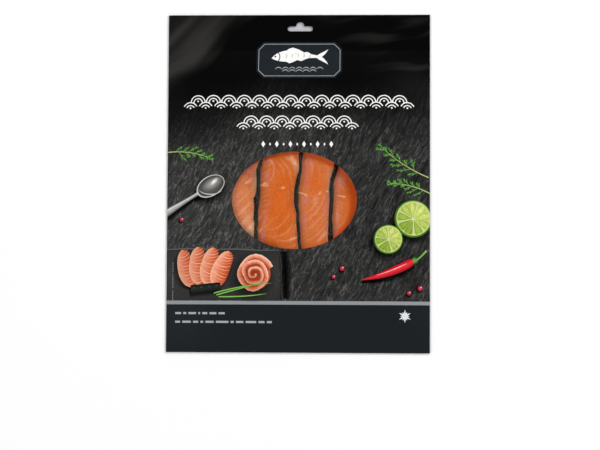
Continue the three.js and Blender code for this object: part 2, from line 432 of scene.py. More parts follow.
def back_panel(materials):
    """The flat back with its hang slot."""
    wallet = bpy.context.scene.salmon_wallet
    top = wallet.seam - wallet.board
    bm = panel_grid(10 * MM)
    bmesh.ops.translate(bm, vec=(0, 0, top), verts=bm.verts)
    thicken(bm, FOOT_GAP - top)
    piece = to_piece("wallet_back_panel", bm, materials, ["wallet_back"])
    finish_panel(piece, [slot_punch()], 0.1 * MM)


def back_flaps(materials):
    """The two side flaps and the bottom flap, folded round from the front and glued to the back."""
    wallet = bpy.context.scene.salmon_wallet
    width, flap, taper = HALF_WIDTH, wallet.flap, 6 * MM
    low, high = -HALF_HEIGHT, HALF_HEIGHT - wallet.header
    inner = width - flap
    side = [(width, low + taper), (width, high), (inner, high - taper), (inner, low + flap + taper)]
    bottom = [(x, low) for x in (taper - width, width - taper)]
    bottom += [(x, low + flap) for x in (inner - taper, taper - inner)]
    bm = bmesh.new()
    for outline in (side, [(-x, y) for x, y in reversed(side)], bottom):
        bm.faces.new([bm.verts.new((x, y, FLAP_TOP)) for x, y in outline])
    thicken(bm, -FLAP_TOP)
    piece = to_piece("wallet_flaps", bm, materials)
    finish_panel(piece, [], 0.08 * MM)


def print_material():
    """Offset print on solid bleached board, under a satin varnish that keeps the blacks deep: cleaved
    slate drawn as streaks, a dark napkin over one corner and a plain field along the bottom."""
    wallet = bpy.context.scene.salmon_wallet
    material, add = new_material("satin_varnished_print")
    place = add("TexCoord", output="Object")
    across, height = (add("SeparateXYZ", [place], side) for side in "XY")

    # All streaks climb to the right, and bend by a few millimetres in every 45.
    bend = add("TexNoise", {"Vector": place, "Scale": 1 / (45.5 * MM), "Detail": 1}, "Color")
    bent = add("VectorMath", (bend, (0.012, 0.012, 0), place), operation="MULTIPLY_ADD")

    def streaks(turn, long, wide, detail, roughness):
        """Noise that is drawn out along one direction, its grain's length and width in millimetres."""
        scale = (long * MM, wide * MM, 1)
        turned = {"Vector": bent, "Rotation": (0, 0, math.radians(turn)), "Scale": scale}
        mapped = add("Mapping", turned, vector_type="TEXTURE")
        return add("TexNoise", {"Vector": mapped, "Scale": 1, "Detail": detail, "Roughness": roughness})

    # Planes of slate: grain of 13 by 2.6 mm over broader grain of 24 by 9 mm, darker to the right.
    planes, over = streaks(52, 24, 9, 2, 0.5), streaks(64, 13, 2.6, 5, 0.68)
    lean = add("Math", (planes, 0.3, over), operation="MULTIPLY_ADD")
    lean = add("Math", (across, -1.1, lean), operation="MULTIPLY_ADD")
    grain = add("MapRange", (lean, 0.4, 1))
    slate = coats(add, wallet.slate_dark, [(grain, wallet.slate_light)])
    # Thin ridges that catch the light, and thin cracks beside them.
    for turn, long, wide, width, strength, tone in (
        (66, 16, 3.4, 0.03, 0.65, wallet.ridge),
        (60, 12, 2.8, 0.04, 0.8, wallet.slate_dark),
        (50, 14, 4.2, 0.02, 0.45, wallet.ridge),
    ):
        away = add("Math", (streaks(turn, long, wide, 2, 0.55), 0.5), operation="SUBTRACT")
        away = add("Math", [away], operation="ABSOLUTE")
        ridge = add("MapRange", (away, 0, width, strength, 0), **SOFT)
        slate = coats(add, slate, [(add("Math", (ridge, grain), operation="MULTIPLY"), tone)])

    # The slate sinks into black towards the top, unevenly.
    cloud = add("TexNoise", {"Vector": place, "Scale": 1 / (71.4 * MM), "Detail": 2})
    edge = add("Math", (cloud, 0.05, height), operation="MULTIPLY_ADD")
    # A dark linen napkin lies over the upper left corner in broad soft folds, and shades the slate.
    corner = add("Math", (across, -1, height), operation="MULTIPLY_ADD")
    corner = add("Math", (streaks(45, 70, 40, 1, 0.5), 0.05, corner), operation="MULTIPLY_ADD")
    # Faint light grazes the dark table in the upper right corner.
    far = add("Math", (across, height), operation="ADD")
    dusk, shaded, napkin, hem, folds, lit, gleams = (
        add("MapRange", (value, low, high, 0, end), **SOFT)
        for value, low, high, end in (
            (edge, 0.04, 0.105, 1),
            (corner, 0.1, 0.168, 0.92),
            (corner, 0.176, 0.178, 1),
            (corner, 0.176, 0.196, 1),
            (streaks(45, 90, 13, 1, 0.4), 0.36, 0.66, 1),
            (far, 0.12, 0.17, 1),
            (streaks(8, 60, 9, 1, 0.4), 0.48, 0.7, 1),
        )
    )
    linen = coats(add, wallet.linen_dark, [(folds, wallet.linen_light)])
    # The plain field and the line over it.
    rule, band = (
        add("MapRange", (height, limit - BLEND, limit + BLEND, 1, 0))
        for limit in (wallet.rule_top, wallet.rule_low)
    )
    layers = (
        (dusk, wallet.ground),
        (shaded, wallet.ground),
        (napkin, coats(add, wallet.ground, [(hem, linen)])),
        (add("Math", (lit, gleams), operation="MULTIPLY"), wallet.glaze),
        (rule, wallet.rule),
        (band, wallet.band),
    )
    # Fibres of the board press through the varnish, drawn coarse enough to show.
    fibre = add("TexNoise", {"Vector": place, "Scale": 1 / (1.11 * MM), "Detail": 3})
    dress(add, {"Base Color": coats(add, slate, layers), **VARNISH}, (fibre, 0.12, 0.05 * MM))
    return material


def core_material():
    """Cut edge of solid bleached board: pale, fibrous and matt."""
    core = bpy.context.scene.salmon_wallet.core
    material, add = new_material("board_core")
    place = add("TexCoord", output="Object")
    fibre = add("TexNoise", {"Vector": place, "Scale": 1 / (0.4 * MM), "Detail": 2})
    dress(add, {"Base Color": coats(add, [0.7 * c for c in core], [(fibre, core)]), "Roughness": 0.85})
    return material


class SALMONPACK_OT_wallet(bpy.types.Operator):
    """Makes the card wallet: the printed front with its window, the back and the glued flaps"""

    bl_idname = "salmon_pack.wallet"
    bl_label = "Card Wallet"

    def execute(self, context):
        materials = [print_material(), core_material()]
        front_panel(materials)
        back_panel(materials)
        back_flaps(materials)
        return {"FINISHED"}


# ---------------------------------------------------------------------------------------------
# Salmon slices
# ---------------------------------------------------------------------------------------------

# How the flakes lie in each slice: the middle of their arcs in millimetres from the pack's middle, how
# flat the arcs are, the distance between two fat lines in millimetres, how strong the lines are and
# how pale the flesh is.
FLAKES = {
    "slice_1": ((185, -221), 1.0, 4.4, 0.34, 0.34),
    "slice_2": ((-36, -15), 0.72, 3.4, 0.14, 0.0),
    "slice_3": ((-12, 6), 0.9, 3.2, 0.16, 0.1),
    "slice_4": ((15.4, -55), 1.0, 3.2, 0.12, 0.08),
}
# Patches on each slice: kind, x and y of the middle, half the length and half the width in
# millimetres, angle in degrees and strength.
PATCHES = {
    "slice_1": (
        ("rind", -30.4, 1.7, 9.4, 1.5, 87, 1.0),
        ("rind", -34.0, -36.0, 2.2, 1.4, 40, 0.7),
        ("dull", -33.6, 6.6, 8.0, 3.6, 80, 0.7),
        ("dull", -37.4, 7.0, 4.5, 2.6, 60, 0.45),
        ("dull", -34.2, -5.0, 5.0, 2.4, 90, 0.3),
        ("pink", -34.8, 9.0, 5.0, 2.6, 70, 0.3),
        ("pink", -43.7, -14.3, 8.7, 0.9, 90, 0.48),
        ("pale", -37.6, -28.7, 7.2, 3.6, 50, 0.3),
        ("pale", -33.6, -34.4, 4.8, 2.2, 75, 0.9),
        ("warm", -45.9, -13.0, 17.0, 2.4, 90, 0.7),
        ("warm", -40.5, -33.0, 10.0, 2.4, 128, 0.6),
    ),
    "slice_2": (
        ("dull", -24.2, 7.4, 8.0, 5.4, 90, 0.2),
        ("pale", -19.5, 15.4, 3.6, 1.2, 130, 0.5),
        ("vivid", -12.3, -15.0, 14.5, 8.0, 90, 0.7),
        ("vivid", -3.6, -17.0, 12.0, 1.6, 90, 0.6),
        ("dull", -5.4, -10.0, 9.0, 1.0, 92, 0.4),
        ("dull", -24.2, -13.0, 9.0, 4.0, 90, 0.2),
        # painted highlight: a faint glint of the film beside strip 2
        ("pale", -3.7, -5.2, 0.9, 0.7, 0, 0.5),
        ("pink", -21.9, 14.9, 2.6, 1.6, 20, 0.4),
        ("pink", -22.4, 4.6, 3.4, 2.4, 100, 0.42),
        ("pink", -21.0, -15.4, 2.4, 1.5, 20, 0.3),
        ("pink", -24.0, -21.0, 3.4, 1.6, 60, 0.3),
        ("pink", -24.2, -28.0, 3.6, 1.1, 78, 0.72),
        ("pink", -25.6, -38.9, 4.3, 1.3, 95, 0.85),
        ("pale", -28.0, -25.8, 1.8, 0.8, 60, 0.9),
        ("pale", -27.2, -34.9, 1.6, 0.8, 70, 0.9),
        ("pale", -3.2, 15.4, 5.8, 1.4, 115, 0.7),
        ("pale", -2.5, -40.3, 3.6, 0.9, 20, 0.8),
        ("rind", -1.4, 8.9, 4.3, 0.6, 80, 0.7),
    ),
    "slice_3": (
        ("pink", 7.3, 14.7, 4.3, 2.5, 90, 0.48),
        ("pink", 5.8, 3.1, 6.5, 2.2, 90, 0.40),
        ("pink", 5.8, -13.5, 2.3, 1.6, 90, 0.9),
        ("pink", 4.4, -26.6, 5.8, 1.9, 90, 0.40),
        ("pink", 20.6, -17.0, 13.0, 2.0, 88, 0.28),
        ("vivid", 13.1, -1.2, 8.0, 5.8, 90, 0.65),
        ("rind", 22.9, 1.7, 10.9, 1.1, 83, 0.9),
        # painted highlight: a small glint of the film on the rind beside strip 3
        ("pale", 21.6, -6.3, 0.9, 0.7, 0, 0.9),
        ("pale", 18.4, -38.4, 5.1, 1.4, 52, 0.42),
        ("pale", 12.6, -13.4, 5.1, 2.2, 80, 0.22),
    ),
    "slice_4": (
        ("dull", 30.5, 1.7, 8.7, 5.1, 90, 0.2),
        ("pink", 29.4, 2.0, 8.5, 3.0, 80, 0.3),
        ("pink", 28.6, -18.0, 12.0, 2.6, 90, 0.22),
        ("pink", 27.6, -36.0, 2.9, 2.2, 60, 0.48),
        ("dull", 31.0, -37.5, 6.5, 2.6, 35, 0.55),
        ("vivid", 37.7, -16.4, 15.9, 2.9, 90, 0.7),
        ("pale", 28.3, -22.9, 7.2, 1.1, 90, 0.3),
        # painted light: lightens the top of this slice, where the card's edge shades it
        ("pale", 31.5, 5.0, 5.5, 3.4, 105, 0.45),
    ),
}
KINDS = ("vivid", "dull", "pink", "pale", "warm", "rind")
# The fat lines that stand out on each slice: half the width in millimetres, strength, and a few points
# that the line passes, in millimetres from the pack's middle.
FAT_LINES = {
    "slice_1": (
        (1.0, 0.7, ((-46.5, -26.6), (-41.9, -22.4), (-38.3, -19.0), (-31.8, -12.4))),
        (1.3, 0.66, ((-45.0, -35.2), (-41.6, -31.6), (-36.9, -26.8), (-30.0, -20.4))),
        (0.91, 0.7, ((-38.6, -37.4), (-34.7, -32.4), (-29.7, -27.0))),
        (0.76, 0.45, ((-46.5, -18.0), (-41.9, -13.4), (-38.3, -10.2), (-33.0, -5.8))),
        (0.91, 0.19, ((-44.8, -12.1), (-40.5, -7.7), (-34.7, -4.1))),
        (0.76, 0.12, ((-43.4, -5.6), (-39.8, -2.0), (-34.7, 0.9))),
        (0.91, 0.12, ((-41.2, 2.4), (-36.9, 5.3), (-31.8, 7.5))),
    ),
    "slice_2": (
        (0.68, 0.37, ((-20.6, 17.2), (-17.7, 11.8), (-18.0, 6.0), (-20.2, 1.3), (-23.8, -0.5))),
        (0.61, 0.19, ((-23.1, 16.1), (-20.6, 11.8), (-21.3, 6.7), (-24.6, 3.1))),
        (0.68, 0.25, ((-16.2, 16.1), (-13.0, 12.9), (-10.8, 8.9), (-10.1, 3.8))),
        (0.68, 0.31, ((-13.0, 16.7), (-8.3, 11.8), (-5.5, 6.3), (-4.6, 0.2))),
        (1.29, 0.50, ((-7.9, 18.3), (-3.2, 15.4), (-0.4, 11.4), (0.4, 7.5))),
        (0.61, 0.25, ((-10.1, 19.0), (-5.7, 15.4), (-2.8, 11.1), (-1.4, 6.0))),
        (0.61, 0.19, ((-9.4, -9.9), (-9.7, -15.7), (-12.3, -21.5), (-16.6, -25.8), (-21.7, -28.0))),
        (0.68, 0.31, ((-5.4, -15.7), (-6.1, -22.2), (-9.4, -28.0), (-15.1, -32.7), (-20.2, -34.5))),
        (0.68, 0.31, ((-2.6, -22.2), (-3.6, -29.5), (-7.2, -35.3), (-13.0, -38.5), (-18.8, -39.6))),
        (0.53, 0.19, ((-0.7, -28.7), (-2.5, -33.8), (-5.7, -38.2))),
        (0.84, 0.34, ((0.1, -38.2), (-3.6, -41.3), (-8.6, -42.5), (-15.9, -41.8))),
        (0.68, 0.31, ((-0.7, -44.3), (-5.0, -46.5), (-10.1, -46.8))),
        (0.61, 0.31, ((-28.5, -36.0), (-25.3, -33.1), (-21.3, -30.2))),
        (0.53, 0.19, ((-27.5, -40.3), (-23.8, -38.5), (-19.5, -38.5))),
        (0.61, 0.12, ((-25.3, -16.4), (-21.7, -15.0), (-18.8, -11.4))),
        (0.61, 0.12, ((-26.0, -9.9), (-22.4, -8.5), (-19.5, -5.6))),
        (0.53, 0.19, ((-18.0, -33.1), (-22.4, -34.2), (-26.0, -36.0))),
        (0.6, 0.28, ((-28.6, -8.2), (-24.6, -7.0), (-20.2, -4.8))),
        (0.6, 0.28, ((-28.8, -11.2), (-24.6, -10.3), (-19.8, -8.6))),
        (0.6, 0.34, ((-28.8, -15.2), (-24.8, -13.4), (-20.2, -12.4))),
        (0.6, 0.3, ((-28.9, -18.4), (-25.0, -16.8), (-20.6, -16.4))),
        (0.6, 0.3, ((-28.0, 5.0), (-24.0, 7.6), (-19.8, 10.0))),
        (0.6, 0.3, ((-27.4, 9.8), (-23.6, 11.4), (-20.2, 12.6))),
        (0.6, 0.26, ((-28.0, 1.0), (-25.0, 3.2), (-22.0, 6.6))),
        (0.6, 0.28, ((-28.9, -21.8), (-25.2, -20.4), (-21.0, -20.6))),
    ),
    "slice_3": (
        (0.91, 0.25, ((6.6, 19.0), (9.5, 15.4), (9.8, 9.6), (9.1, 3.1))),
        (0.76, 0.19, ((15.3, 16.9), (19.6, 13.3), (21.4, 8.2), (21.4, 1.7))),
        (0.61, 0.19, ((10.9, 17.6), (14.2, 13.3), (15.3, 7.5), (14.5, 0.9))),
        (0.84, 0.2, ((12.7, -7.7), (12.9, -12.8), (10.9, -17.9), (5.8, -22.2))),
        (0.91, 0.25, ((18.2, -7.7), (17.1, -15.0), (13.1, -22.2), (7.3, -26.6), (3.0, -28.7))),
        (0.76, 0.31, ((21.8, -12.8), (20.0, -20.1), (15.3, -26.6), (9.5, -31.6), (4.4, -33.8))),
        (0.61, 0.19, ((22.1, -20.1), (19.6, -26.6), (15.3, -31.6), (8.7, -36.0))),
        (0.84, 0.31, ((22.1, -25.8), (18.9, -32.4), (13.1, -38.2), (6.6, -41.8))),
        (0.91, 0.31, ((21.8, -33.1), (18.2, -38.2), (13.1, -42.5))),
        (0.68, 0.31, ((3.0, -17.2), (3.3, -12.1), (2.6, -7.7))),
        (0.53, 0.12, ((4.4, -37.4), (8.0, -34.5), (11.6, -31.6))),
    ),
    "slice_4": (
        (0.68, 0.19, ((27.6, 7.5), (31.2, 5.6), (34.1, 1.7))),
        (0.68, 0.25, ((27.2, 3.1), (31.2, 1.7), (34.8, -2.7))),
        (0.68, 0.25, ((26.8, -1.2), (30.5, -2.3), (33.7, -5.6))),
        (0.61, 0.12, ((26.8, -5.6), (30.5, -6.7))),
        (0.91, 0.12, ((30.5, -12.1), (31.2, -18.6), (30.5, -24.4))),
        (0.68, 0.12, ((34.8, -12.8), (35.5, -19.3), (34.1, -25.1))),
        (0.68, 0.12, ((26.8, -15.7), (27.9, -21.5), (27.6, -28.7))),
        (0.76, 0.19, ((26.8, -32.4), (30.5, -30.9), (34.1, -26.6))),
    ),
}

WINDOW_REACH = 39  # millimetres from the window's middle to its edge, on average
RIM_SHADE_SHIFT = (-3.2 * MM, -1.2 * MM)  # to the lower left, which makes the painted rim shade broadest on the right, where the card's edge shades the flesh from the key light
RIM_SHADE_DEPTHS = (-0.7, 3.3)  # millimetres inside the shifted edge between which the rim's painted shade fades
NORI_SHADOW_FADES = ((0.42, 1.6), (0.68, 2.1))  # left and right of a strip: strength of its painted shadow, and millimetres of fading


def flake_distance(name, points):
    """Distance of each point from the middle of its slice's arcs in flakes, gently warped."""
    (x, y), flatness, pitch, _, _ = FLAKES[name]
    spread = np.hypot(points[:, 0] / MM - x, flatness * (points[:, 1] / MM - y))
    return (spread + 1.5 * noise_at(points, 60, 3.1) + 0.5 * noise_at(points, 210, 5.7)) / pitch


def patch(points, x, y, half_length, half_width, angle):
    """A soft oval patch, 1 in its middle."""
    turn = math.radians(angle)
    across, along = points[:, 0] / MM - x, points[:, 1] / MM - y
    u = (across * math.cos(turn) + along * math.sin(turn)) / half_length
    v = (along * math.cos(turn) - across * math.sin(turn)) / half_width
    return np.exp(-((u * u + v * v) ** 1.3))


def fat_line(points, half_width, strength, path):
    """A soft line along a smooth curve, strongest in its middle and thinning out to its ends."""
    last = len(path) - 1
    fits = [np.polyfit(range(last + 1), axis, min(3, last)) for axis in zip(*path)]
    curve = np.array([np.polyval(fit, np.linspace(0, last, 20)) for fit in fits]).T
    place = points[:, :2] / MM
    best = np.zeros(len(points))
    for index, (start, end) in enumerate(zip(curve[:-1], curve[1:])):
        way = end - start
        share = np.clip((place - start) @ way / (way @ way), 0, 1)
        away = np.hypot(*(place - start - share[:, None] * way).T)
        fade = math.sin(math.pi * (index + 0.7) / (len(curve) + 0.4)) ** 0.6
        best = np.maximum(best, fade * np.exp(-((away / half_width) ** 2)))
    return strength * best


def strip_shade(points):
    """How much painted shadow the nori beside a point lays on it: more to its right than to its left."""
    x, y = points[:, 0] / MM, points[:, 1] / MM
    shade = np.zeros(len(points))
    for edges in STRIP_EDGES.values():
        high, left, right = np.array(edges[::-1]).T
        gaps = (np.interp(y, high, left) - x, x - np.interp(y, high, right))
        for gap, other, (strength, reach) in zip(gaps, gaps[::-1], NORI_SHADOW_FADES):
            shade = np.maximum(shade, strength * np.exp(-np.clip(gap, 0, None) / reach) * (other < 0))
    return shade


def salmon_slice(name, material):
    """One slice: the CAD solid cut fine and softened, with its flakes in low relief."""
    salmon = bpy.context.scene.salmon_salmon
    wallet = bpy.context.scene.salmon_wallet
    piece = fine_copy(name, name + "_flesh", salmon.cuts, salmon.smoothing, material)
    mesh = piece.data
    points = vectors(mesh.vertices, "co")
    flakes = flake_distance(name, points)
    bent = points + (0.5 * MM * noise_at(points, 150, 8.0))[:, None]
    fat = np.clip(sum(fat_line(bent, *line) for line in FAT_LINES[name]), 0, 1)
    height = salmon.relief * (0.35 * noise_at(points, 500, 1.0) - fat)
    set_positions(mesh, points + vectors(mesh.vertex_normals, "vector") * height[:, None])

    # Painted shade: a deep orange rim along the window's edge, broadest on the right, where the card's
    # edge shades the flesh.
    oval = (points[:, :2] - wallet.window_centre - RIM_SHADE_SHIFT) / wallet.window_half
    inside = (1 - np.hypot(*oval.T)) * WINDOW_REACH
    fade = np.clip((inside - RIM_SHADE_DEPTHS[0]) / (RIM_SHADE_DEPTHS[1] - RIM_SHADE_DEPTHS[0]), 0, 1)
    values = {
        "flake": flakes,
        "fat": fat,
        "lines": np.full(len(points), FLAKES[name][3]),
        "paleness": np.full(len(points), FLAKES[name][4]),
        "shade": strip_shade(points),
        "rim": 1 - fade * fade * (3 - 2 * fade),
    }
    for kind in KINDS:
        own = [row[1:] for row in PATCHES[name] if row[0] == kind]
        total = sum((row[5] * patch(points, *row[:5]) for row in own), np.zeros(len(points)))
        values[kind] = np.clip(total, 0, 1)
    for kind, numbers in values.items():
        set_attribute(mesh, kind, numbers)


def salmon_material():
    """Cold smoked salmon, cut with a long knife: moist, slightly translucent flesh whose fat lines
    stay pale. Light that enters comes out redder, so shaded parts turn a deep orange. A deep orange
    painted shade lines the window's edge, and a painted shadow lies beside each nori strip."""
    salmon = bpy.context.scene.salmon_salmon
    material, add = new_material("cold_smoked_salmon")
    place = add("TexCoord", output="Object")
    told = ("flake", "lines", "paleness", "fat", "shade", "rim")
    flake, lines, paleness, fat, shade, rim = (
        add("Attribute", output="Fac", attribute_name=name) for name in told
    )
    # Grain from 22 mm for whole flakes down to 1 mm for single fibres.
    broad, wide, patchy, ragged, skin, wet = (
        add(
            "TexNoise",
            {"Vector": place, "Scale": 1 / (size * MM), "Detail": detail, "Roughness": roughness},
        )
        for size, detail, roughness in (
            (22.2, 2, 0.5),
            (6.25, 3, 0.5),
            (9.09, 3, 0.5),
            (2.38, 3, 0.6),
            (1.43, 3, 0.5),
            (0.909, 3, 0.6),
        )
    )

    # Faint fat lines, about 1.5 mm wide and broken where the flesh is lean, and muscle fibres between.
    wander = add("Math", (wide, 0.35, flake), operation="MULTIPLY_ADD")
    line = add("Math", (wander, 0.5), operation="PINGPONG")
    fibre = add("Math", (patchy, 0.5, flake), operation="MULTIPLY_ADD")
    fibre = add("Math", (fibre, 0.11), operation="PINGPONG")
    line, lean, fibre, sparse, light, torn, worn, mottle = (
        add("MapRange", row, **SOFT)
        for row in (
            (line, 0, 0.24, 1, 0),
            (broad, 0.36, 0.62, 0.35, 1),
            (fibre, 0, 0.09, 1, 0),
            (patchy, 0.4, 0.65, 0.05, 0.35),
            (patchy, 0.35, 0.65),
            (ragged, 0.3, 0.6, 0.75, 1),
            (ragged, 0.3, 0.6, 0.6, 1),
            (wet, 0.25, 0.75, 0.82, 1.15),
        )
    )
    kinds = [add("Attribute", output="Fac", attribute_name=kind) for kind in KINDS]
    line, fibre, drawn, rim, *shares = (
        add("Math", pair, operation="MULTIPLY")
        for pair in (
            (line, add("Math", (lines, lean), operation="MULTIPLY")),
            (fibre, sparse),
            (fat, torn),
            (rim, 0.7),
            *((kind, worn) for kind in kinds),
        )
    )
    layers = (
        (light, salmon.flesh_light),
        (paleness, salmon.fat),
        (fibre, salmon.fibre),
        (line, salmon.fat),
        (drawn, salmon.fat_bright),
        *((share, getattr(salmon, kind)) for share, kind in zip(shares, KINDS)),
        (shade, salmon.nori_shadow),  # painted shadow of the nori on the flesh beside it, stronger to its right
        # painted shade: deep orange flesh along the window's edge, where the card shades it
        (rim, salmon.rim),
    )
    # Wet fibres break the light up finely.
    tone = coats(add, coats(add, salmon.flesh, layers), [(1, mottle)], "MULTIPLY")
    sunk = add("Math", (line, -0.5), operation="MULTIPLY")
    relief = add("Math", (skin, 0.5, sunk), operation="MULTIPLY_ADD")
    finish = {
        "Base Color": tone,
        "Roughness": 0.35,
        "Specular IOR Level": 0.12,
        "Subsurface Weight": 0.6,
        "Subsurface Radius": (1, 0.3, 0.08),
        "Subsurface Scale": 4 * MM,
    }
    dress(add, finish, (relief, 0.35, 0.2 * MM))
    return material


class SALMONPACK_OT_salmon(bpy.types.Operator):
    """Makes the four shingled slices of smoked salmon"""

    bl_idname = "salmon_pack.salmon"
    bl_label = "Salmon Slices"

    def execute(self, context):
        material = salmon_material()
        for name in SLICES:
            salmon_slice(name, material)
        return {"FINISHED"}


# ---------------------------------------------------------------------------------------------
# Nori
# ---------------------------------------------------------------------------------------------

# The strips' ragged outlines where the window shows them: y, left edge and right edge in millimetres
# from the pack's middle.
STRIP_EDGES = {
    "nori_1": (
        (16.1, -27.6, -25.6), (12.5, -28.8, -26.2), (8.2, -30.3, -27.2), (3.8, -29.7, -27.4),
        (-2.7, -29.8, -27.3), (-9.2, -30.4, -27.5), (-11.4, -32.2, -27.9), (-13.5, -32.0, -28.1),
        (-15.7, -31.4, -28.1), (-18.6, -31.4, -28.5), (-22.2, -31.8, -29.0), (-26.6, -32.0, -28.9),
        (-28.7, -31.0, -28.8), (-33.1, -31.1, -29.3), (-37.4, -31.5, -29.0), (-42.5, -30.9, -28.7),
    ),
    "nori_2": (
        (21.9, 0.8, 3.4), (16.9, 0.6, 3.0), (12.5, 1.0, 2.5), (8.2, 0.6, 2.5), (3.8, -0.7, 1.5),
        (-0.5, -1.6, 1.1), (-4.8, -2.5, 0.3), (-9.2, -2.7, 0.3), (-15.7, -2.8, 0.3),
        (-17.9, -2.5, 0.3), (-20.1, -1.7, 0.6), (-22.2, -1.0, 0.9), (-26.6, -1.2, 0.9),
        (-28.7, -1.2, 1.1), (-33.1, -0.6, 1.6), (-39.6, -0.2, 1.8), (-43.9, -0.1, 1.9),
        (-49.0, 0.8, 2.7),
    ),
    "nori_3": (
        (14.0, 26.1, 29.6), (10.4, 25.8, 28.7), (8.2, 25.1, 27.9), (3.8, 24.0, 26.6),
        (-0.5, 23.2, 25.3), (-4.8, 22.6, 25.6), (-11.4, 22.7, 25.4), (-17.9, 22.6, 25.4),
        (-22.2, 22.4, 25.0), (-24.4, 22.1, 24.5), (-28.7, 22.1, 24.7), (-33.1, 22.0, 25.2),
        (-37.4, 22.0, 25.1), (-42.5, 21.8, 25.7),
    ),
}


def strip_sides(name):
    """The x of a nori strip's left and right edge as functions of y, read from its CAD node."""
    points = vectors(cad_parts[name].data.vertices, "co")
    heights = np.round(points[:, 1], 5)  # its corners lie in rows across it
    rows = np.unique(heights)
    across = [points[heights == y, 0] for y in rows]
    return [lambda y, side=side: np.interp(y, rows, [side(x) for x in across]) for side in (min, max)]


def nori_strip(name, material):
    """One strip: the CAD solid cut fine, with ragged edges and a rough, pressed surface."""
    nori = bpy.context.scene.salmon_nori
    mesh = fine_copy(name, name + "_strip", nori.cuts, 0, material).data
    points = vectors(mesh.vertices, "co")
    cad_sides = strip_sides(name)
    heights, *sides = np.array(STRIP_EDGES[name][::-1]).T * MM
    shifts = [
        np.interp(points[:, 1], heights, side - cad(heights)) for side, cad in zip(sides, cad_sides)
    ]
    left, right = (cad(points[:, 1]) for cad in cad_sides)
    across = (points[:, 0] - left) / (right - left)
    points[:, 0] += shifts[0] + (shifts[1] - shifts[0]) * across
    across = np.clip(across, 0, 1)
    along = points * (0, 1, 0) + np.round(across)[:, None] * (0.02, 0, 0)  # each edge has its own sway
    sway = noise_at(along, 400, 2.0) + 0.7 * noise_at(along, 900, 4.0)
    points[:, 0] += nori.ragged * sway * np.abs(2 * across - 1)
    rough = 0.1 * MM * noise_at(points, 900, 6.0)
    set_positions(mesh, points + vectors(mesh.vertex_normals, "vector") * rough[:, None])


def nori_material():
    """Dried seaweed sheet, pressed and toasted, then softened by the fish: black-green and moist."""
    nori = bpy.context.scene.salmon_nori
    material, add = new_material("pressed_seaweed")
    place = add("TexCoord", output="Object")
    fibres, patches = (
        add(
            "TexNoise",
            {"Vector": place, "Scale": 1 / (size * MM), "Detail": detail, "Roughness": roughness},
        )
        for size, detail, roughness in ((1.11, 4, 0.7), (3.85, 2, 0.5))
    )
    mixed = add("Math", (fibres, patches), operation="MULTIPLY")
    tone = coats(add, nori.dark, [(add("MapRange", (mixed, 0.2, 0.42)), nori.light)])
    finish = {"Base Color": tone, "Roughness": 0.6, "Specular IOR Level": 0.015}
    dress(add, finish, (fibres, 0.6, 0.2 * MM))
    return material


class SALMONPACK_OT_nori(bpy.types.Operator):
    """Makes the nori strips on the slices' cut edges"""

    bl_idname = "salmon_pack.nori"
    bl_label = "Nori Strips"

    def execute(self, context):
        material = nori_material()
        for name in STRIPS:
            nori_strip(name, material)
        return {"FINISHED"}


# ---------------------------------------------------------------------------------------------
# Film
# ---------------------------------------------------------------------------------------------

# Short creases that lie in a row across the window, each with a painted cream highlight: x and y of the
# middle, half the length and half the width in millimetres, and angle in degrees.
CREASES = (
    (-36.4, -0.2, 2.6, 0.9, 12),
    (-34.4, 1.8, 2.0, 0.9, 52),
    (-24.1, -2.2, 3.1, 0.9, -4),
    (-23.4, -0.6, 2.0, 0.75, 8),
    (-10.7, -4.0, 1.4, 1.0, 0),
    (2.8, -7.8, 2.6, 0.6, -8),
    (6.0, -9.1, 1.6, 0.9, -35),
    (15.6, -8.0, 1.7, 0.75, 62),
    (30.6, -9.7, 3.7, 0.55, -6),
    (32.8, -10.3, 1.4, 0.9, 0),
    (21.7, -6.3, 0.8, 0.6, 90),
)


def vacuum_film(material):
    """The film over the slices, drawn tight by the vacuum, with fine wrinkles and a row of creases."""
    film = bpy.context.scene.salmon_film
    piece = fine_copy("film", "vacuum_film", film.cuts, film.smoothing, material)
    mesh = piece.data
    points = vectors(mesh.vertices, "co")
    ridge = np.max([patch(points, *crease) for crease in CREASES], axis=0)
    points[:, 2] += film.crease * ridge + film.wrinkle * noise_at(points * (1, 1, 0), 330, 7.0)
    set_positions(mesh, points)
    set_attribute(mesh, "crease", ridge)


def film_material():
    """Clear polyamide and polyethylene vacuum film: light passes it and only its gloss shows, but a
    cream painted highlight, broken up by noise, lies along each crease."""
    material, add = new_material("clear_vacuum_film")
    gloss = add("BsdfGlossy", {"Color": (1, 1, 1), "Roughness": 0.12})
    edge = add("Math", (add("LayerWeight", [0.5], "Facing"), 5), operation="POWER")
    share = add("Math", (edge, 0.5, 0.01), operation="MULTIPLY_ADD")
    shiny = add("MixShader", (share, add("BsdfTransparent"), gloss))
    # Painted highlight: a cream diffuse tone over the creases stands for the light that they catch.
    glint_shader = add("BsdfDiffuse", [bpy.context.scene.salmon_film.glint_tone])
    place = add("TexCoord", output="Object")
    broken = add("TexNoise", {"Vector": place, "Scale": 1 / (1.43 * MM), "Detail": 2})
    crease = add("Attribute", output="Fac", attribute_name="crease")
    film_glint = add("Math", (crease, broken), operation="MULTIPLY")
    film_glint = add("MapRange", (film_glint, 0.06, 0.66, 0, 0.56))
    add("OutputMaterial", {"Surface": add("MixShader", (film_glint, shiny, glint_shader))})
    return material


class SALMONPACK_OT_film(bpy.types.Operator):
    """Makes the clear vacuum film over the slices"""

    bl_idname = "salmon_pack.film"
    bl_label = "Vacuum Film"

    def execute(self, context):
        vacuum_film(film_material())
        return {"FINISHED"}


# ---------------------------------------------------------------------------------------------
# Printed motifs
# ---------------------------------------------------------------------------------------------

WHITE = "#f2f2ef"
SILVER = "#9a9ea0"
PLAQUE = "#1f2428"
BLACK = "#000000"
INK_TRIM = 0.05 * MM  # kept clear along the card's edge
INK_FOOT = 0.01 * MM  # how far the ink's lower face lies over the card


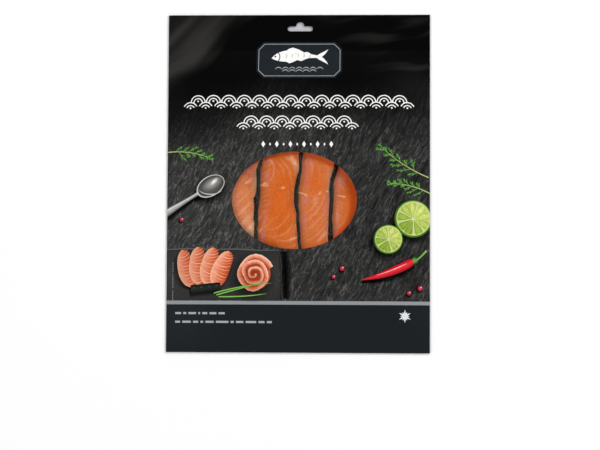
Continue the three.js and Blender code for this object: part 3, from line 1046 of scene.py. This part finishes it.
class Ink:
    """Flat shapes of printing ink, drawn in millimetres from the pack's middle and laid on the card in
    layers."""

    def __init__(self):
        self.bm = bmesh.new()
        self.tone = self.bm.verts.layers.float_color.new("ink")
        self.layer = self.bm.verts.layers.float.new("ink_layer")
        self.shapes = 0

    def own_layer(self, layer):
        """The layer, raised by a hair that differs from shape to shape, because faces in one plane
        shade badly."""
        self.shapes += 1
        return layer + 0.047 * (self.shapes % 8)

    def paint(self, vert, tone, layer, cover):
        vert[self.tone] = (*linear(tone), cover)
        vert[self.layer] = layer

    def disc(self, centre, radius, inner, outer, layer=1, squash=1, turn=0, segments=32, cover=(1, 1)):
        """A filled oval whose colour and cover run from its middle to its rim."""
        layer = self.own_layer(layer)
        circle = {"cap_ends": True, "cap_tris": True, "segments": segments, "radius": radius * MM}
        verts = bmesh.ops.create_circle(self.bm, **circle)["verts"]
        bmesh.ops.scale(self.bm, vec=(1, squash, 1), verts=verts)
        turned = Matrix.Rotation(math.radians(turn), 3, "Z")
        bmesh.ops.rotate(self.bm, cent=(0, 0, 0), matrix=turned, verts=verts)
        for vert in verts:
            tone, share = (inner, cover[0]) if vert.co.length < SNAP else (outer, cover[1])
            self.paint(vert, tone, layer, share)
        bmesh.ops.translate(self.bm, vec=(centre[0] * MM, centre[1] * MM, 0), verts=verts)

    def ribbon(self, points, widths, edge, middle=None, layer=1, other_edge=None, cover=(1, 1, 1)):
        """A stroke along points with a width at each, and colours for its left edge, middle and
        right edge."""
        layer = self.own_layer(layer)
        points = [Vector(p) for p in points]
        tones = (edge, middle or edge, other_edge or edge)
        verts, row = [], []
        for index, (point, width) in enumerate(zip(points, widths)):
            ahead = points[min(index + 1, len(points) - 1)] - points[max(index - 1, 0)]
            across = Vector((-ahead.y, ahead.x)).normalized() * width / 2
            if not verts:
                verts = [self.bm.verts.new((0, 0, 0)) for _ in range(3)]
                row = [self.bm.edges.new(verts[:2]), self.bm.edges.new(verts[1:])]
            else:
                grown = set(bmesh.ops.extrude_edge_only(self.bm, edges=row)["geom"])
                ends = [{link.other_vert(v) for link in v.link_edges} & grown for v in verts]
                verts = [end.pop() for end in ends]
                row = [self.bm.edges.get(verts[:2]), self.bm.edges.get(verts[1:])]
            places = (point + across, point, point - across)
            for vert, place, tone, share in zip(verts, places, tones, cover):
                vert.co = (place.x * MM, place.y * MM, 0)
                self.paint(vert, tone, layer, share)

    def arc(self, centre, radius, start, stop, width, edge, layer=1, steps=16, squash=1, **tones):
        """A stroke along part of an oval, from one angle to another in degrees. It thins out to its
        ends where width is a pair of its end's and its middle's width."""
        x, y = centre
        angles = [math.radians(start + (stop - start) * i / steps) for i in range(steps + 1)]
        points = [(x + radius * math.cos(a), y + squash * radius * math.sin(a)) for a in angles]
        thin, wide = width if isinstance(width, tuple) else (width, width)
        widths = [thin + (wide - thin) * math.sin(math.pi * i / steps) for i in range(steps + 1)]
        self.ribbon(points, widths, edge, layer=layer, **tones)

    def cast(self, points, widths, shift=(0, 0), grown=1, strength=1):
        """The soft shadow of a ribbon."""
        moved = [(x + shift[0], y + shift[1]) for x, y in points]
        self.ribbon(moved, [w * grown for w in widths], BLACK, layer=0, cover=(0, strength, 0))

    def cast_spot(self, centre, radius, shift, strength=1, **shape):
        """The soft shadow of a disc."""
        moved = (centre[0] + shift[0], centre[1] + shift[1])
        self.disc(moved, radius, BLACK, BLACK, layer=0, cover=(strength, 0), **shape)

    def finish(self, name, material, base):
        """Trims the shapes to the card, cuts them so that they follow its arch, and gives them
        thickness. base is a layer that all of them lie above."""
        ink = bpy.context.scene.salmon_print
        for axis, half in enumerate((HALF_WIDTH, HALF_HEIGHT)):
            steps = math.floor((half - 2 * INK_TRIM) / ink.cell)
            for step in range(-steps, steps + 1):
                cut_sheet(self.bm, axis, step * ink.cell)
            for side in (1, -1):
                cut_sheet(self.bm, axis, side * (half - INK_TRIM), outside=side)
        for y in crease_lines():
            cut_sheet(self.bm, 1, y)
        for face in self.bm.faces:
            face.normal_update()
            if face.normal.z < 0:
                face.normal_flip()
        lower = set(bmesh.ops.extrude_face_region(self.bm, geom=self.bm.faces[:])["geom"])
        for vert in self.bm.verts:
            layer = vert[self.layer]
            if vert in lower:
                lift = INK_FOOT + ink.layer * (base + layer % 1)
            else:
                lift = ink.lift + ink.layer * (base + layer)
            vert.co.z = front_height(vert.co.x, vert.co.y) + lift
        bmesh.ops.recalc_face_normals(self.bm, faces=self.bm.faces[:])
        self.bm.verts.layers.float.remove(self.layer)
        piece = to_piece(name, self.bm, [material])
        piece.data.set_sharp_from_angle(angle=math.radians(40))


def ink_material(name, covers):
    """Offset inks under the same satin varnish as the card. Their screen shows as a faint grain, drawn
    far coarser than real dots. A halftone covers a share of the card, which fades out to its edge."""
    material, add = new_material(name)
    tone = add("Attribute", output="Color", attribute_name="ink")
    share = None if covers else add("Attribute", output="Alpha", attribute_name="ink")
    place = add("TexCoord", output="Object")
    grain = add("TexNoise", {"Vector": place, "Scale": 1 / (2.38 * MM), "Detail": 3})
    grain = add("MapRange", (grain, 0.3, 0.7, 0.9, 1.06))
    dress(add, {"Base Color": coats(add, tone, [(1, grain)], "MULTIPLY"), **VARNISH}, cover=share)
    return material


def curve_points(start, bend, end, steps):
    """Points along a quadratic curve."""
    a, b, c = (Vector(p) for p in (start, bend, end))
    return [tuple(a.lerp(b, t).lerp(b.lerp(c, t), t)) for t in (i / steps for i in range(steps + 1))]


def polar(centre, reach, angle):
    """The point at a distance and an angle in degrees from a centre."""
    turn = math.radians(angle)
    return (centre[0] + reach * math.cos(turn), centre[1] + reach * math.sin(turn))


def along_and_across(angle):
    """The two directions of a shape that is turned by an angle in degrees."""
    way = Vector(polar((0, 0), 1, angle))
    return way, Vector((-way.y, way.x))


def blend(first, second, share):
    """A hex colour between two others."""
    pairs = [(int(first[i : i + 2], 16), int(second[i : i + 2], 16)) for i in (1, 3, 5)]
    return "#" + "".join(f"{round(a + (b - a) * min(max(share, 0), 1)):02x}" for a, b in pairs)


def draw_emblem(ink):
    """A plain eight-sided plaque with a hairline frame and a fish over two waves."""
    x, y, half, tall, chamfer = 0.4, 89.2, 31, 27, 5
    for inset, tone, layer in ((0, "#1d2226", 1), (1.3, SILVER, 2), (1.75, PLAQUE, 3)):
        outer, inner = half - inset, half - chamfer - inset / 2
        low, high = tall - 2 * chamfer - inset, tall - 2 * inset
        points = [(x + end, y) for end in (-outer, -inner, inner, outer)]
        ink.ribbon(points, (low, high, high, low), tone, layer=layer)
    y += 1.8
    spine = curve_points((x - 20, y - 0.4), (x - 4, y + 3.0), (x + 14, y + 0.6), 16)
    body = [0.4, 3.4, 5.6, 7.0, 7.9, 8.4, 8.5, 8.3, 7.8, 7.0, 6.1, 5.1, 4.1, 3.3, 2.6, 2.1, 1.9]
    u, v = spine[-1]
    for side in (1, -1):
        lobe = curve_points((u - 1, v), (u + 2.6, v + 1.2 * side), (u + 6.8, v + 5.6 * side), 8)
        ink.ribbon(lobe, [1.9, 2.4, 2.7, 2.7, 2.5, 2.1, 1.6, 0.9, 0.2], WHITE, layer=4)
    for start, side, heights in (
        (5, 1, (0.4, 3.2, 4.6, 3.4, 2.0, 0.3)),
        (11, 1, (0.4, 2.4, 0.8)),
        (5, -1, (0.4, 3.4, 2.0, 0.3)),
        (9, -1, (0.4, 3.0, 1.4, 0.2)),
    ):
        steps = zip(range(len(heights)), spine[start:], body[start:])
        fin = [(u + 0.4 * i, v + side * (depth / 2 - 0.3)) for i, (u, v), depth in steps]
        ink.ribbon(fin, heights, WHITE, layer=4)
    ink.ribbon(spine, body, WHITE, layer=5)
    gill, eye = (spine[2][0] - 3.4, spine[2][1] + 0.2), (spine[1][0] + 0.5, spine[1][1] + 0.8)
    ink.arc(gill, 5.2, -36, 36, 0.65, PLAQUE, layer=6, steps=8)
    ink.disc(eye, 0.65, PLAQUE, PLAQUE, layer=6, segments=12)
    for u, v in spine[5:15:2]:
        scale = curve_points((u, v + 1.6), (u + 1.2, v), (u, v - 1.6), 5)
        ink.ribbon(scale, [0.1, 0.35, 0.4, 0.4, 0.35, 0.1], "#8d9294", layer=6)
    for drop, crests in ((9.8, 7), (11.7, 5)):
        for i in range(crests):
            centre = (x + 5 * (i - (crests - 1) / 2), y - drop)
            ink.arc(centre, 2.5, 20, 160, (0.15, 0.75), SILVER, layer=4, steps=8)


def draw_scales(ink, x, low, most):
    """A frieze of overlapping scales: two rows of arches, the upper one set off by half a scale."""
    pitch, width = 11.2, 0.75
    for row, reach in enumerate((62, 90)):
        shown = most - row
        for i in range(shown):
            centre = (x + (i - (shown - 1) / 2) * pitch, low + row * pitch * 0.44)
            for share in (0.5, 0.31):
                radius = share * pitch - width / 2
                ink.arc(centre, radius, 90 - reach, 90 + reach, width, WHITE, steps=12)
            ink.disc((centre[0], centre[1] + 0.1 * pitch), 0.85 * width, WHITE, WHITE, segments=10)


def draw_friezes(ink):
    """Three centred rows of traditional ornament, from wide to narrow."""
    draw_scales(ink, 0.2, 52.6, 15)
    draw_scales(ink, -0.4, 37.6, 8)
    for i in range(11):
        radius = 1.2 if i % 2 else 2.3
        ink.disc((4.9 * (i - 5) - 0.6, 27.4), radius, WHITE, WHITE, squash=0.62, turn=90, segments=4)


def draw_field_marks(ink):
    """Small marks: two rows of dashes and a star in the plain field, and a column of fine dashes that
    climbs from it along the left edge."""
    for y, end, widths in (
        (-94.4, -50, (4.4, 2.2, 5.6, 1.4, 3.6, 5.0)),
        (-100.6, -11, (3.6, 6.4, 3.8, 2.0, 6.0, 9.0, 2.2, 5.4, 7.6, 4.4)),
    ):
        x = -88.3
        for width in widths * 2:
            if x + width > end:
                break
            ink.ribbon([(x, y), (x + width, y)], [1.5, 1.5], "#a4a8aa")
            x += width + 1.6
    for i in range(12):
        reach = 4.6 if i % 2 else 3.2
        ray = [polar((77, -96), share * reach, 30 * i) for share in (0, 0.5, 1)]
        ink.ribbon(ray, [0.2, 1.3, 0.15], "#dcdedf")
    for i in range(19):
        y = -58 - 1.45 * i
        ink.ribbon([(-90.3, y), (-90.3, y - 0.9)], [0.8, 0.8], "#77797a")


def draw_sprig(ink, root, angle, size, bend, scale=1):
    """A sprig of dill: a curved stem, fine side stems and hair-thin leaflets."""
    way, side = along_and_across(angle)
    tip = Vector(root) + way * size
    stem = curve_points(root, (Vector(root) + tip) / 2 + side * size * bend, tip, 14)
    ink.ribbon(stem, [0.9 - 0.045 * i for i in range(15)], "#76903f", "#c0cf84")
    greens = (("#2f6d30", "#5aa53f"), ("#47893a", "#9bd05c"), ("#1f4d26", "#38763a"))
    for i in range(3, 15):
        turn = 1 if i % 2 else -1
        reach = scale * (12 - 0.55 * i) * (0.8 + 0.3 * math.sin(2.3 * i + angle))
        heading = angle + turn * (52 - 2.4 * i)
        middle = polar(stem[i], reach * 0.55, heading + turn * 12)
        twig = curve_points(stem[i], middle, polar(stem[i], reach, heading), 6)
        ink.ribbon(twig, [0.5, 0.45, 0.4, 0.35, 0.3, 0.3, 0.25], "#4c7f34", "#86b551")
        for j in range(2, 7):
            for fork in (-44, 40):
                spread = heading + fork * (1.15 - 0.1 * j) + 11 * math.sin(5 * i + 3 * j + fork)
                leaf = scale * (3.9 - 0.35 * j) * (0.85 + 0.3 * math.sin(3 * i + 5 * j))
                points = [polar(twig[j], leaf * share, spread) for share in (0, 0.5, 1)]
                ink.ribbon(points, [0.25, 0.42, 0.1], *greens[(i + j + (fork > 0)) % 3], 1.4)


def draw_lime(ink, shadow, centre, radius, layer, turn):
    """A slice of lime: green peel, pale pith and juicy segments, lit from the upper right."""
    shadow.cast_spot(centre, radius * 1.3, (-1.6, -2.2))
    ink.disc(centre, radius, "#577d24", "#42701a", layer, segments=48)
    pith = (centre[0] + 0.2, centre[1] + 0.2)
    ink.disc(pith, radius * 0.92, "#cbd79a", "#bccb7c", layer + 1, segments=48)
    for i in range(9):
        angle = turn + 40 * i + 3 * math.sin(4 * i)
        light = 0.5 + 0.5 * math.cos(math.radians(angle - 50))
        points = [polar(centre, radius * share, angle) for share in (0.08, 0.3, 0.6, 0.77, 0.85)]
        widths = [radius * share for share in (0.02, 0.17, 0.36, 0.44, 0.3)]
        dark, bright = blend("#6f8f2a", "#a3b63a", light), blend("#90a83c", "#d3dd77", light)
        ink.ribbon(points, widths, dark, bright, layer + 2)
        for offset in (-8, 7):
            gleam = [polar(centre, radius * share, angle + offset) for share in (0.4, 0.58, 0.72)]
            ink.ribbon(gleam, [0.1, 0.5, 0.15], bright, blend(bright, "#f4f7c8", light), layer + 3)


def draw_slice(ink, shadow, centre, angle, layer, light):
    """A thin slice of salmon with its curved fat lines, lit along its upper edge."""
    way, side = along_and_across(angle)
    shape = (0.3, 0.66, 0.85, 0.94, 1, 1.02, 1, 0.97, 0.93, 0.87, 0.78, 0.6, 0.25)
    widths = [12.5 * share for share in shape]
    middle = []
    for t in range(13):
        bow = side * 1.5 * math.sin(math.pi * t / 12)
        middle.append(Vector(centre) + way * 27 * (t / 12 - 0.5) + bow)
    shadow.cast(middle, widths, (-1.4, -1.8), 1.5)
    edge, flesh, far_edge = (
        blend("#5a2012", tone, light) for tone in ("#f2b596", "#de7048", "#a9401f")
    )
    ink.ribbon(middle, widths, edge, flesh, layer, other_edge=far_edge)
    for k in range(1, 12):
        slant = 1.1 * math.sin(0.7 * k + angle)
        line = []
        for u in (-1, -0.5, 0, 0.5, 1):
            bow = way * (1.6 * u * u + slant * u - 0.6)
            line.append(middle[k] + side * (0.46 * widths[k] * u) + bow)
        pale = blend("#e8906a", "#f8d9c6", 0.55 + 0.45 * math.sin(2.1 * k))
        ink.ribbon(line, [0.2, 0.5, 0.7, 0.6, 0.3], flesh, blend(flesh, pale, light), layer + 0.5)


def draw_rosette(ink, shadow, centre, radius, layer, turn):
    """A rose rolled from one long slice of salmon: a wavy spiral whose turns overlap inwards."""
    shadow.cast_spot(centre, radius * 1.4, (-2.0, -2.6))
    ink.disc(centre, radius * 0.9, "#8a2f14", "#b9522f", layer, segments=40)
    steps = 64

    def spiral(step):
        """A point of the spiral, and its angle."""
        angle = turn + 1050 * step / steps
        waves = ((0.07, 1.7 * angle), (0.04, 4.3 * angle + 50))
        wave = 1 + sum(height * math.sin(math.radians(way)) for height, way in waves)
        reach = 0.88 * max(1 - step / steps, 0) ** 0.8 + 0.04
        return polar(centre, radius * reach * wave, angle), angle

    for start in range(0, steps - 3, 4):
        points, angles = zip(*(spiral(step) for step in range(start, start + 6)))
        share = (start + 2) / steps
        light = 0.725 + 0.275 * math.cos(math.radians(angles[2] - 60))
        widths = [radius * (0.34 - 0.2 * share) * w for w in (0.85, 1, 1.05, 1.05, 1, 0.85)]
        rim, flesh = blend("#b4664a", "#f7d0bb", light), blend("#a9482a", "#e9825c", light)
        turns = layer + 1 + 6 * share
        ink.ribbon(points, widths, "#8a2f16", flesh, turns, other_edge=rim)
        for point, angle, width in list(zip(points, angles, widths))[1:5]:
            line = [polar(point, -0.3 * width, angle + 14), point, polar(point, 0.42 * width, angle - 6)]
            ink.ribbon(line, [0.1, 0.35, 0.45], flesh, blend(flesh, "#f9dccb", light), turns + 0.2)


def draw_chives(ink, root, angles, size, layer):
    """A few chive stalks, side by side."""
    for i, angle in enumerate(angles):
        start = (root[0] + 1.8 * i, root[1] - 1.3 * i)
        middle = polar(start, size * 0.5, angle + 6 - 5 * i)
        stalk = curve_points(start, middle, polar(start, size * (1 - 0.09 * i), angle), 8)
        widths = [1.0, 1.1, 1.1, 1.0, 1.0, 0.9, 0.7, 0.5, 0.2]
        ink.ribbon(stalk, widths, "#2f6d2a", "#93c95c", layer + 0.3 * i)


def draw_nori(ink, shadow, centre, angle, long, wide, layer):
    """A small sheet of nori with a dull sheen."""
    way, _ = along_and_across(angle)
    middle = [Vector(centre) + way * long * (t / 8 - 0.5) for t in range(9)]
    widths = [wide * (0.92 + 0.1 * math.sin(3.1 * t)) for t in range(9)]
    shadow.cast(middle, widths, (-1, -1.4), 1.4)
    ink.ribbon(middle, widths, "#101411", "#232a25", layer, other_edge="#070908")
    for x, y in middle[1:8:2]:
        sheen = [(x - 1.2, y + 0.8), (x + 0.6, y + 1.2)]
        ink.ribbon(sheen, [0.3, 0.5], "#3d4740", "#59645b", layer + 0.4)


def draw_chilli(ink, shadow, stalk, tip, sag, layer):
    """A red chilli with a line of gloss and a green stalk."""
    stalk, tip = Vector(stalk), Vector(tip)
    pod = curve_points(stalk, (stalk + tip) / 2 - Vector((0, sag)), tip, 14)
    widths = [3.4, 5.2, 6.0, 6.3, 6.2, 6.0, 5.7, 5.3, 4.8, 4.2, 3.6, 2.9, 2.1, 1.3, 0.3]
    shadow.cast(pod, widths, (-1.0, -2.0), 1.9)
    ink.ribbon(pod, widths, "#8c0f18", "#e8303a", layer, other_edge="#a1101c")
    shine = [(x - 0.2, y + 0.9) for x, y in pod[2:11]]
    ink.ribbon(shine, [0.2, 0.6, 0.9, 0.9, 0.8, 0.7, 0.6, 0.4, 0.2], "#ea4a56", "#ffc4c8", layer + 1)
    glow = [(x + 0.1, y - 1.3) for x, y in pod[3:10]]
    ink.ribbon(glow, [0.2, 0.5, 0.6, 0.6, 0.5, 0.4, 0.2], "#a1101c", "#d8323e", layer + 1)
    away = (stalk - tip).normalized()
    cap = [stalk + away * reach for reach in (-1.2, 0.8, 2)]
    ink.ribbon(cap, [3.8, 4.4, 1.6], "#2f6a2a", "#6aa545", layer + 1)
    middle, end = cap[-1] + away * 4 + Vector((0, 1.5)), cap[-1] + away * 7 + Vector((0, 4))
    stem = curve_points(cap[-1], middle, end, 6)
    ink.ribbon(stem, [1.5, 1.3, 1.2, 1.2, 1.3, 1.5, 1.9], "#3f7a32", "#8fbf5e", layer + 1)


def draw_peppercorns(ink, shadow, places):
    """Pink peppercorns."""
    for x, y, radius in places:
        shadow.cast_spot((x, y), radius * 1.6, (-0.6, -0.8), 0.9, segments=12)
        ink.disc((x, y), radius, "#c93c50", "#8a1a2c", 2, segments=16)
        shine = (x + radius * 0.3, y + radius * 0.35)
        ink.disc(shine, radius * 0.35, "#ffd9dc", "#d96576", 3, segments=10)


def draw_spoon(ink, shadow, handle, bowl, layer):
    """A steel spoon, its handle running off the card: dark and bright bands mirror the surroundings."""
    handle, bowl = Vector(handle), Vector(bowl)
    way = (bowl - handle).normalized()
    side = Vector((-way.y, way.x))
    angle = math.degrees(math.atan2(way.y, way.x))
    neck = bowl - way * 9.5
    shaft = [handle.lerp(neck, t / 8) for t in range(9)] + [neck + way * 2.4]
    widths = [6.2, 5.9, 5.3, 4.5, 3.8, 3.2, 2.8, 2.6, 2.9, 4.6]
    shadow.cast(shaft, widths, (-0.8, -2.4), 2)
    shadow.cast_spot(bowl, 14.5, (-1.2, -2.6), squash=0.72, turn=angle)
    ink.ribbon(shaft, widths, "#5a5855", "#b9b7b3", layer, other_edge="#3a3836")
    gleam = [point + side * width * 0.22 for point, width in zip(shaft, widths)]
    ink.ribbon(gleam, [0.2 * width for width in widths], "#a5a3a0", "#efeeeb", layer + 1)
    ink.disc(bowl, 11.0, "#8d8b88", "#c2c0bc", layer + 1, 0.66, angle, 40)
    ink.disc(bowl + way * 0.3, 10.2, "#6d6b68", "#3f3d3b", layer + 2, 0.64, angle, 40)
    hollow, glint = bowl + way * 1.6 + Vector((-0.3, 0.9)), bowl + way * 3.4 + Vector((-0.4, 1.5))
    ink.disc(hollow, 8.0, "#a8a6a2", "#5a5855", layer + 3, 0.5, angle, 32)
    ink.disc(glint, 3.6, "#f7f6f3", "#a8a6a2", layer + 4, 0.42, angle + 14, 24)
    ink.arc(bowl, 9.6, 205, 330, (0.1, 0.9), "#8f8d89", layer + 4, squash=0.62, middle="#d5d3cf")


def draw_tile(ink):
    """A smooth slate tile under the food, with a chipped upper edge."""
    low = -84.9
    top = [(-96, -48.6), (-80, -48.0), (-62, -48.7), (-44, -48.3), (-28, -49.2), (-13, -49.0)]
    middle = [(x, (y + low) / 2) for x, y in top]
    ink.ribbon(middle, [y - low for _, y in top], "#2c2c2c", "#393837", other_edge="#2d2d2c")
    ink.ribbon(top, [0.7, 0.9, 0.6, 1.0, 0.7, 0.5], "#444443", "#686866", 1.5)
    side = [(-13, -49.0), (-11.6, -60), (-11.9, -72), (-10.4, low)]
    ink.ribbon(side, [0.8, 1.4, 1.1, 1.6], "#1a1a1a", "#3b3b3a", 1.5, other_edge="#0c0c0c")


class SALMONPACK_OT_print(bpy.types.Operator):
    """Prints the emblem, the ornaments and the food motifs on the front"""

    bl_idname = "salmon_pack.print"
    bl_label = "Printed Motifs"

    def execute(self, context):
        ornament, herbs, tile, food, on_tile, shadow = (Ink() for _ in range(6))
        draw_emblem(ornament)
        draw_friezes(ornament)
        draw_field_marks(ornament)
        draw_sprig(herbs, (94, 4), 148, 40, 0.1)
        draw_sprig(herbs, (96, -8), 166, 30, -0.12, 0.8)
        draw_sprig(herbs, (-96, 22), -8, 33, 0.12, 0.8)
        draw_tile(tile)
        shadow.cast([(-9.8, -50), (-8.6, -66), (-8.4, -84)], (8, 10, 9), strength=0.6)
        slices = ((-79, -62, 104), (-70.5, -60.5, 92), (-62, -61, 80), (-53.5, -63, 68))
        for i, (x, y, angle) in enumerate(slices):
            draw_slice(food, on_tile, (x, y), angle, 2.4 + 1.1 * i, 0.86 + 0.045 * i)
        draw_nori(food, on_tile, (-66, -76.5), 6, 22, 7, 7)
        draw_rosette(food, on_tile, (-31, -66), 13, 2.4, 20)
        draw_chives(food, (-60, -80), (10, 15, 4), 42, 7.4)
        draw_lime(food, shadow, (83, -26), 13.5, 1, 12)
        draw_lime(food, shadow, (65, -41), 10.5, 4, 30)
        draw_chilli(food, shadow, (84, -56), (46, -70), 4, 1)
        corns = ((88, -76, 1.9), (80, -79.5, 1.6), (32, -62, 1.8), (26, -68, 1.5), (-84, -27, 1.6))
        draw_peppercorns(food, shadow, corns)
        draw_spoon(food, shadow, (-99, -24), (-63, -3), 1)

        solid = ink_material("printing_ink", True)
        halftone = ink_material("halftone_ink", False)
        for ink, name, material, base in (
            (ornament, "print_ornaments", solid, 0),
            (herbs, "print_herbs", solid, 0),
            (tile, "print_tile", solid, 0),
            (food, "print_food", solid, 0),
            (on_tile, "print_tile_shadows", halftone, 1.6),
            (shadow, "print_halftones", halftone, 0),
        ):
            ink.finish(name, material, base)
        return {"FINISHED"}


# ---------------------------------------------------------------------------------------------
# Stage
# ---------------------------------------------------------------------------------------------

CAMERA_PLACE = (0.04982, -0.09917, 1.20192)
CAMERA_TURN = (3.2823, 2.2938, 0.2798)  # degrees
CAMERA_LENS = 100
CAMERA_SENSOR = 36
FLOOR_GAP = 0.1 * MM
COVERED = 0.96  # share of the pack's width and height under which the floor is painted in its shade


def area_light(name, place, size, watts):
    """A soft square light that points at the middle of the pack."""
    data = bpy.data.lights.new(name, "AREA")
    data.shape = "SQUARE"
    data.size = size
    data.energy = watts
    light = new_object(name, data)
    light.location = place
    light.rotation_euler = (-Vector(place)).to_track_quat("-Z", "Y").to_euler()


def studio_floor():
    """A broad, pale, matt floor just under the pack."""
    bm = bmesh.new()
    bmesh.ops.create_grid(bm, x_segments=4, y_segments=4, size=3)
    bmesh.ops.translate(bm, vec=(0, 0, -FLOOR_GAP), verts=bm.verts)
    floor = new_object("studio_floor", new_mesh("studio_floor", bm))
    floor.data.materials.append(floor_material())


def floor_material():
    """Matt white paper backdrop, faintly uneven over every third of a metre."""
    stage = bpy.context.scene.salmon_stage
    material, add = new_material("matt_paper_backdrop")
    place = add("TexCoord", output="Object")
    grain = add("TexNoise", {"Vector": place, "Scale": 1 / (333 * MM)})
    # The floor under the pack is painted grey as the pack's shade, which only the hang slot shows.
    share = add("VectorMath", (place, FRONT_HIGH), operation="DIVIDE")
    sides = [add("SeparateXYZ", [share], side) for side in "XY"]
    away = [add("Math", [side], operation="ABSOLUTE") for side in sides]
    inside = [add("Math", (value, COVERED), operation="LESS_THAN") for value in away]
    cover = add("Math", inside, operation="MULTIPLY")
    dull = [0.985 * c for c in stage.floor]
    tone = coats(add, dull, [(grain, stage.floor), (cover, stage.painted_floor_shade)])
    dress(add, {"Base Color": tone, "Roughness": 0.9, "Specular IOR Level": 0.1})
    return material


def studio_world(strength):
    """Even light from the sides that falls off overhead, so that the varnish doesn't mirror it to
    the camera."""
    world = bpy.data.worlds.new("studio")
    bpy.context.scene.world = world
    world.use_nodes = True
    world.node_tree.nodes.clear()
    add = partial(node, world.node_tree)
    up = add("SeparateXYZ", [add("TexCoord", output="Generated")], "Z")
    fall = add("MapRange", (up, 0.5, 0.93, strength, 0.1 * strength), **SOFT)
    add("OutputWorld", {"Surface": add("Background", {"Color": (1, 1, 1), "Strength": fall})})


class SALMONPACK_OT_stage(bpy.types.Operator):
    """Sets up the floor, the lights and the camera"""

    bl_idname = "salmon_pack.stage"
    bl_label = "Studio Stage"

    def execute(self, context):
        stage = context.scene.salmon_stage
        studio_floor()
        studio_world(stage.world)
        area_light("key_light", (1.6, 1.2, 1.55), 0.6, stage.key)
        area_light("fill_light", (-1.5, -0.6, 2.0), 1.6, stage.fill)
        camera = bpy.data.cameras.new("camera")
        camera.lens = CAMERA_LENS
        camera.sensor_width = CAMERA_SENSOR
        view = new_object("camera", camera)
        view.location = CAMERA_PLACE
        view.rotation_euler = [math.radians(angle) for angle in CAMERA_TURN]
        context.scene.camera = view
        context.scene.view_settings.view_transform = "Standard"
        return {"FINISHED"}


class SALMONPACK_PT_panel(bpy.types.Panel):
    """Lists the pack's settings and the steps that make it"""

    bl_idname = "SALMONPACK_PT_panel"
    bl_label = "Salmon Pack"
    bl_space_type = "VIEW_3D"
    bl_region_type = "UI"
    bl_category = "Salmon Pack"

    def draw(self, context):
        for operator, name, group in STEPS:
            box = self.layout.box()
            box.operator(operator.bl_idname)
            for setting in group.__annotations__:
                box.prop(getattr(context.scene, name), setting)


# Each step's operator, the scene property with its settings and their group, in the order of the steps.
STEPS = (
    (SALMONPACK_OT_stage, "salmon_stage", StageSettings),
    (SALMONPACK_OT_wallet, "salmon_wallet", WalletSettings),
    (SALMONPACK_OT_salmon, "salmon_salmon", SalmonSettings),
    (SALMONPACK_OT_nori, "salmon_nori", NoriSettings),
    (SALMONPACK_OT_film, "salmon_film", FilmSettings),
    (SALMONPACK_OT_print, "salmon_print", PrintSettings),
)


def register():
    for operator, name, group in STEPS:
        bpy.utils.register_class(group)
        setattr(bpy.types.Scene, name, PointerProperty(type=group))
        bpy.utils.register_class(operator)
    bpy.utils.register_class(SALMONPACK_PT_panel)


def unregister():
    bpy.utils.unregister_class(SALMONPACK_PT_panel)
    for operator, name, group in reversed(STEPS):
        bpy.utils.unregister_class(operator)
        delattr(bpy.types.Scene, name)
        bpy.utils.unregister_class(group)


def main():
    register()
    bpy.ops.salmon_pack.stage()
    bpy.ops.salmon_pack.wallet()
    bpy.ops.salmon_pack.salmon()
    bpy.ops.salmon_pack.nori()
    bpy.ops.salmon_pack.film()
    bpy.ops.salmon_pack.print()


if __name__ == "__main__":
    main()
